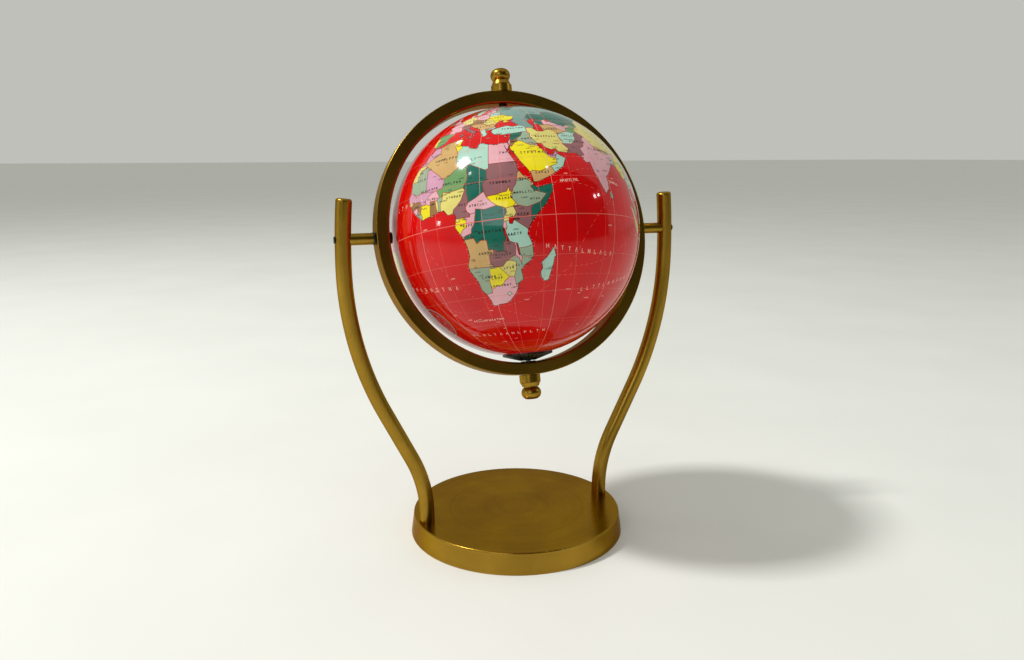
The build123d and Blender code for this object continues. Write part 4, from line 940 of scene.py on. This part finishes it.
# a name across each country, as large as it will hold
longest_name_mm, shortest_name_mm, name_share = 24.0, 2.5, 0.62
for tint, numbers in countries:
    outline = pairs(numbers)
    on_land = [p for p in outline if over_land(off_the_shore(p))] or outline
    middle = (sum(p[0] for p in on_land) / len(on_land), sum(p[1] for p in on_land) / len(on_land))
    if not over_land(middle):
        continue
    span = (max(p[0] for p in on_land) - min(p[0] for p in on_land)) * squeeze(middle[1])
    span_mm = min(span / degrees_per_mm * name_share, longest_name_mm)
    if span_mm > shortest_name_mm:
        letters = max(4, min(8, int(span_mm / 1.5)))
        pitch = span_mm / letters
        height = max(0.75, min(1.5, pitch * 0.66))
        word("words", middle, letters, height, pitch, 0.17 + height * 0.13)

# towns strewn over the land, and the names of the oceans
town_tries, sea_name_tries = 1350, 150
for attempt in range(town_tries):
    place = (random.uniform(-125, 150), random.uniform(-38, 66))
    if over_land(place) and random.random() < squeeze(place[1]):
        small_word("words", place, random.randint(3, 7))
for size, longitude, latitude, letters, pitch in ocean_names:
    height = 2.0 if size == "large" else 1.3
    tilt = random.uniform(-0.2, 0.2)
    word("sea_words", (longitude, latitude), letters, height, pitch * 0.42,
         line_mm["ocean letter"], tilt, bow=0.002)

# the islands and banks named in the open sea
for attempt in range(sea_name_tries):
    place = (random.uniform(-165, 185), random.uniform(-62, 72))
    if not over_land(place) and not over_land((place[0] + 4, place[1])):
        small_word("sea_words", place, random.randint(3, 7), 0.42)

# short level dashes of shading along each coast, on the sea side
shading_pitch_mm = 1.4
for outline in lands:
    for (x0, y0), (x1, y1) in zip(outline, outline[1:] + outline[:1]):
        narrow = squeeze(y0)
        length_mm = math.hypot((x1 - x0) * narrow, y1 - y0) / degrees_per_mm
        steps = int(length_mm / shading_pitch_mm)
        for step in range(steps):
            share = (step + 0.5) / steps
            x, y = x0 + (x1 - x0) * share, y0 + (y1 - y0) * share
            reach = random.uniform(0.5, 0.95) * degrees_per_mm / narrow
            for way in (-1, 1):
                clear = not over_land((x + way * 0.35, y)) and not over_land((x + way * reach, y))
                if clear and random.random() < 0.6:
                    dash = stroke((x, y), (x + way * reach, y), line_mm["shading"])
                    print_jobs.append(("sea_words", dash))

# the graticule, with the equator drawn heavier and the polar circles drawn with it
graticule_step, gore_width, parallel_piece = 15, 30, 10
for longitude in range(-165, 191, graticule_step):
    for south in range(-75, 75, graticule_step):
        ends = (longitude, south), (longitude, south + graticule_step)
        print_jobs.append(("graticule", stroke(*ends, line_mm["meridian"])))
for longitude in range(-159, 190, gore_width):
    for south in range(-85, 85, parallel_piece):
        ends = (longitude, south), (longitude, south + parallel_piece)
        print_jobs.append(("gore_join", stroke(*ends, line_mm["gore join"])))
for latitude in list(range(-75, 76, graticule_step)) + [-66.5, 66.5]:
    for west in range(-169, 191, parallel_piece):
        width = line_mm["equator"] if latitude == 0 else line_mm["parallel"]
        print_jobs.append(("graticule", stroke((west, latitude), (west + parallel_piece, latitude), width)))

# the two tropics, dashed
tropic, dash_pitch, dash_length = 23.4, 3, 1.8
for latitude in (-tropic, tropic):
    for west in range(-168, 189, dash_pitch):
        dash = stroke((west, latitude), (west + dash_length, latitude), line_mm["parallel"])
        print_jobs.append(("graticule", dash))

# shipping lanes: dashed curves between far ports.  Each is its two ends and how far it bows
# north of the straight line between them, in degrees
lane_dash = 1.4
lanes = [
    (-17, 14, 17, -34, -9), (18, -35, 57, -20, -5), (57, -20, 80, 6, 4), (45, 11, 78, 7, 3),
    (40, -15, 49, 10, 3), (-35, -8, 17, -35, -12), (52, 12, 72, 18, 2), (80, 5, 115, -32, -7),
    (-6, 36, -74, 40, 8), (-120, 34, -169, 24, 3), (20, -36, 115, -36, -11),
    (57, -20, 100, -3, -5), (-16, 28, -60, 14, -4), (141, 35, 190, 30, 4), (-17, 15, -35, -6, -2),
]
for x0, y0, x1, y1, bow in lanes:
    steps = max(8, int(math.hypot(x1 - x0, y1 - y0) / lane_dash) // 2 * 2)
    curve = [(x0 + (x1 - x0) * k / steps,
              y0 + (y1 - y0) * k / steps + bow * math.sin(math.pi * k / steps)) for k in range(steps + 1)]
    for k in range(0, steps, 2):
        if not over_land(curve[k]):
            print_jobs.append(("sea_line", stroke(curve[k], curve[k + 1], line_mm["lane"])))


def ring_strokes(ink, middle, radius_mm, width_mm, pieces):
    """A printed ring drawn with short straight strokes."""
    narrow = squeeze(middle[1])
    turns = [math.tau * k / pieces for k in range(pieces + 1)]
    ring = [(middle[0] + radius_mm * degrees_per_mm * math.cos(t) / narrow,
             middle[1] + radius_mm * degrees_per_mm * math.sin(t)) for t in turns]
    for a, b in zip(ring, ring[1:]):
        print_jobs.append((ink, stroke(a, b, width_mm)))


def compass_rose(middle):
    """A compass rose: three printed rings and a dial of ticks, every other one long, every
    fourth one broad."""
    narrow = squeeze(middle[1])
    for radius, width in ((11.5, 1.1), (9.4, 0.3), (5.2, 0.3)):
        ring_strokes("rose", middle, radius, width, 40)
    ticks, short_inner, long_inner, outer = 32, 6.8, 3.0, 9.0
    for tick in range(ticks):
        turn = math.tau * tick / ticks
        inner = long_inner if tick % 2 else short_inner
        ends = [(middle[0] + r * degrees_per_mm * math.cos(turn) / narrow,
                 middle[1] + r * degrees_per_mm * math.sin(turn)) for r in (inner, outer)]
        print_jobs.append(("rose", stroke(ends[0], ends[1], 0.25 if tick % 4 else 0.8)))


# one rose in the south Atlantic and one in the Pacific
compass_rose((-30.0, -40.0))
compass_rose((-122.0, -8.0))


# the plain grid under the print, fine enough to bend round the ball
grid_step = 4.0
grid_columns = 91
grid_rows = [-paper_end_latitude] + [-84.0 + grid_step * k for k in range(43)] + [paper_end_latitude]


def rim_row(latitude):
    """The corners on one parallel of the plain grid under the print."""
    return [(paper_seam + grid_step * column, latitude) for column in range(grid_columns)]


# the whole sheet: the tints, the print over them and the grid.  A line that crosses the seam is
# cut off there if it belongs to the graticule, and left out if not
points, faces = numbered(lands + borders + waters)
inks = []
first_job = len(faces)
west_limit, east_limit = paper_seam, paper_seam + 360
seam_margin, shortest_cut = 0.02, 0.05
for ink, corners in print_jobs:
    if not corners:
        continue
    if not all(west_limit + seam_margin < p[0] < east_limit - seam_margin for p in corners):
        corners = [(min(max(p[0], west_limit), east_limit), p[1]) for p in corners]
        across = max(p[0] for p in corners) - min(p[0] for p in corners)
        if across < shortest_cut or ink != "graticule":
            continue
    faces.append(list(range(len(points), len(points) + 4)))
    points += [tuple(p) for p in corners]
    inks.append(ink)
first_grid = len(points)
edges = []
for latitude in grid_rows:
    start = len(points)
    points += rim_row(latitude)
    edges += [(start + k, start + k + 1) for k in range(grid_columns - 1)]
for k in range(grid_columns):
    for row in range(len(grid_rows) - 1):
        corner = first_grid + row * grid_columns + k
        edges.append((corner, corner + grid_columns))
flat_points, flat_faces, flat_sources = cut_flat(points, edges, faces, 5e-4)


def ink_of(inside):
    """The ink on top of a piece of the sheet."""
    printed = [i for i in inside if i >= first_job]
    if printed:
        return inks[max(printed) - first_job]
    country = country_of([i for i in inside if i < first_job])
    return "sea" if country < 0 else tints[country]


def printed_latitude(latitude):
    """Where a latitude is printed: the damp gores stretched, so the map is a little too tall
    and sits low."""
    eased = math.radians(latitude) * 90 / paper_end_latitude
    stretch, sag = 2.1, 2.4
    return latitude + stretch * math.sin(2 * eased) - sag * math.cos(eased)


def on_ball(longitude, latitude, radius):
    """A place on the map as a point on the leaned ball, and the way out from its centre."""
    spin = math.radians(longitude - facing_longitude)
    rise = math.radians(printed_latitude(latitude))
    out = Vector((math.cos(rise) * math.sin(spin), -math.cos(rise) * math.cos(spin), math.sin(rise)))
    out.rotate(Matrix.Rotation(-lean, 3, "X"))
    return ball_centre + out * radius, out


def glued_paper():
    """The printed sheet closed round the ball, with a plain inner side, as one shell."""
    places, outs, spots = [], [], {}

    def corner(longitude, latitude, inner):
        """The number of a corner of the shell, made when it is first asked for."""
        if abs(longitude - east_limit) < 1e-3:
            longitude = west_limit
        key = (round(longitude, 4), round(latitude, 4), inner)
        if key not in spots:
            radius = ball_radius - (paper_thickness if inner else 0)
            place, out = on_ball(longitude, latitude, radius)
            spots[key] = len(places)
            places.append(place)
            outs.append(-out if inner else out)
        return spots[key]

    mesh_faces, mesh_inks = [], []
    for face, inside in zip(flat_faces, flat_sources):
        loop = [corner(flat_points[i].x, flat_points[i].y, False) for i in face]
        loop = [v for k, v in enumerate(loop) if v != loop[k - 1]]
        if len(loop) > 2:
            mesh_faces.append(loop)
            mesh_inks.append(ink_of(inside))
    for low, high in zip(grid_rows, grid_rows[1:]):
        for (x0, y0), (x1, y1) in zip(rim_row(low), rim_row(low)[1:]):
            mesh_faces.append([corner(x0, high, True), corner(x1, high, True),
                               corner(x1, low, True), corner(x0, low, True)])
            mesh_inks.append("graticule")
    for latitude in (grid_rows[0], grid_rows[-1]):
        for (x0, y0), (x1, y1) in zip(rim_row(latitude), rim_row(latitude)[1:]):
            rim = [corner(x0, latitude, True), corner(x1, latitude, True),
                   corner(x1, latitude, False), corner(x0, latitude, False)]
            mesh_faces.append(rim if latitude < 0 else rim[::-1])
            mesh_inks.append("graticule")
    mesh = bpy.data.meshes.new("map paper")
    mesh.from_pydata(places, [], mesh_faces)
    mesh.update()
    shades = {ink: linear(colour) for ink, colour in print_colours.items()}
    ink_layer = mesh.color_attributes.new("ink", "FLOAT_COLOR", "CORNER")
    flat_shades = []
    for polygon in mesh.polygons:
        flat_shades += shades[mesh_inks[polygon.index]] * len(polygon.vertices)
    ink_layer.data.foreach_set("color", flat_shades)
    mesh.shade_smooth()
    mesh.normals_split_custom_set_from_vertices(outs)
    return mesh


def lacquered_map(name):
    """Printed paper under clear lacquer: flat saturated ink, tired in places, deep wet gloss."""
    material, tree, surface, place = new_material(name)
    ink = add_node(tree, "VertexColor", {"layer_name": "ink"})
    blotch = add_node(tree, "TexNoise", None, {"Vector": place, "Scale": per_mm(14.0), "Detail": 4.0})
    fibre = add_node(tree, "TexNoise", None, {"Vector": place, "Scale": per_mm(0.35), "Detail": 3.0})
    worn = add_node(tree, "MapRange", None, {
        "Value": (blotch, 0), "From Min": 0.35, "From Max": 0.7, "To Min": 1.0, "To Max": 0.86})
    speckle = add_node(tree, "MapRange", None, {
        "Value": (fibre, 0), "From Min": 0.3, "From Max": 0.7, "To Min": 0.93, "To Max": 1.04})
    tone = add_node(tree, "Math", {"operation": "MULTIPLY"}, {0: (worn, 0), 1: (speckle, 0)})
    colour = add_node(tree, "VectorMath", {"operation": "SCALE"}, {0: (ink, 0), 3: (tone, 0)})
    ripple = add_node(tree, "Bump", None, {
        "Height": (blotch, 0), "Strength": 0.05, "Distance": 0.0004})
    dull = add_node(tree, "MapRange", None, {
        "Value": (blotch, 0), "From Min": 0.3, "From Max": 0.75, "To Min": 0.05, "To Max": 0.12})
    tree.links.new(colour.outputs[0], surface.inputs["Base Color"])
    tree.links.new(ripple.outputs[0], surface.inputs["Normal"])
    tree.links.new(dull.outputs[0], surface.inputs["Roughness"])
    surface.inputs["IOR"].default_value = 1.4
    return material


map_paper = bpy.data.objects.new("map_paper", glued_paper())
bpy.context.scene.collection.objects.link(map_paper)
map_paper.data.materials.append(lacquered_map("Lacquered printed paper"))
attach(map_paper, "globe")
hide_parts("globe_map_paper")


# ---- Table, lights and camera ------------------------------------------------------------
# A plain pale table top and a pale surround.  One strong soft lamp stands high on the left,
# a wide soft one fills from the front, and small lamps round the room give the lacquer sparkles.
def painted_board(name):
    """A pale painted table top: almost matt, with a faint roller texture."""
    material, tree, surface, place = new_material(name)
    roller = add_node(tree, "TexNoise", None, {"Vector": place, "Scale": per_mm(2.5), "Detail": 4.0})
    patches = add_node(tree, "TexNoise", None, {"Vector": place, "Scale": per_mm(160), "Detail": 2.0})
    colour = add_node(tree, "Mix", {"data_type": "RGBA"}, {
        0: (patches, 0), 6: linear("#D9DAD4"), 7: linear("#E4E5DF")})
    relief = add_node(tree, "Bump", None, {
        "Height": (roller, 0), "Strength": 0.05, "Distance": 0.0002})
    tree.links.new(colour.outputs[2], surface.inputs["Base Color"])
    tree.links.new(relief.outputs[0], surface.inputs["Normal"])
    surface.inputs["Roughness"].default_value = 0.6
    return material


def flat_panel(name, corners, material):
    """A panel of four corners in the scene, which isn't part of the globe."""
    mesh = bpy.data.meshes.new(name)
    mesh.from_pydata(corners, [], [(0, 1, 2, 3)])
    mesh.materials.append(material)
    panel = bpy.data.objects.new(name, mesh)
    bpy.context.scene.collection.objects.link(panel)
    return panel


table_half = 40.0
flat_panel("table_top", [(-table_half, -table_half, 0), (table_half, -table_half, 0),
                         (table_half, table_half, 0), (-table_half, table_half, 0)],
           painted_board("Pale painted board"))

surround = bpy.data.worlds.new("surround")
surround.use_nodes = True
surround.node_tree.nodes["Background"].inputs["Color"].default_value = linear("#D8D9D2")
surround.node_tree.nodes["Background"].inputs["Strength"].default_value = 0.76
bpy.context.scene.world = surround
# colours are shown as they are, so that the red keeps its strength
bpy.context.scene.view_settings.view_transform = "Standard"

# a dark sheet that stands in for the unlit room in front of the table: painted dark reflection, which only
# the polished surfaces show
# its dark colour is painted shade, seen only as a dark reflection in the brass and the lacquer; it is no
# wall that is there
painted_reflection_dark = plain_moulding("Painted dark reflection of the room", "#3A3731", "#4A463E", 40.0)
dark_reflection_sheet = flat_panel("dark_reflection_sheet", [(-6.0, -3.0, 0.01), (8.0, -3.0, 0.01),
                                     (8.0, -2.4, 5.0), (-6.0, -2.4, 5.0)], painted_reflection_dark)
dark_reflection_sheet.visible_camera = False
dark_reflection_sheet.visible_diffuse = False
dark_reflection_sheet.visible_shadow = False


def soft_lamp(name, place, aim, size, power, colour="#FFFFFF"):
    """A square area lamp at a place, turned towards an aim point."""
    data = bpy.data.lights.new(name, "AREA")
    data.size = size
    data.energy = power
    data.color = linear(colour)[:3]
    lamp = bpy.data.objects.new(name, data)
    bpy.context.scene.collection.objects.link(lamp)
    lamp.location = place
    lamp.rotation_euler = (Vector(aim) - Vector(place)).to_track_quat("-Z", "Y").to_euler()
    return lamp


soft_lamp("high_left_lamp", (-1.39, 0.35, 2.15), ball_centre, 0.28, 50.0, "#FCFBFA")
soft_lamp("front_fill_lamp", (-1.5, -1.7, 1.1), ball_centre, 0.9, 7.0, "#F6F8FF")
# each lamp's place, its size and its power, placed so that the ball mirrors it where the real
# lacquer sparkles
sparkle_lamps = [
    (-0.80, 1.31, 2.09, 0.10, 1.0), (-1.56, -0.19, 2.09, 0.07, 0.7), (0.59, -1.13, 2.30, 0.06, 0.6),
    (1.96, -1.04, 1.24, 0.10, 0.8), (2.02, -0.85, 1.20, 0.06, 0.6), (-2.43, 0.15, 0.57, 0.12, 1.2),
]
for number, (x, y, z, size, power) in enumerate(sparkle_lamps):
    soft_lamp(f"sparkle_lamp_{number}", (x, y, z), ball_centre, size, power)

camera_data = bpy.data.cameras.new("front_left_camera")
camera_data.lens = 28.85
camera_data.sensor_width = 36.0
camera_data.shift_x = -0.0024
camera_data.shift_y = 0.0029
camera = bpy.data.objects.new("front_left_camera", camera_data)
camera.location = (-0.1878, -0.4743, 0.2406)
camera.rotation_euler = (math.radians(90 - 12.14), math.radians(0.14), math.radians(-21.53))
bpy.context.scene.collection.objects.link(camera)
bpy.context.scene.camera = camera
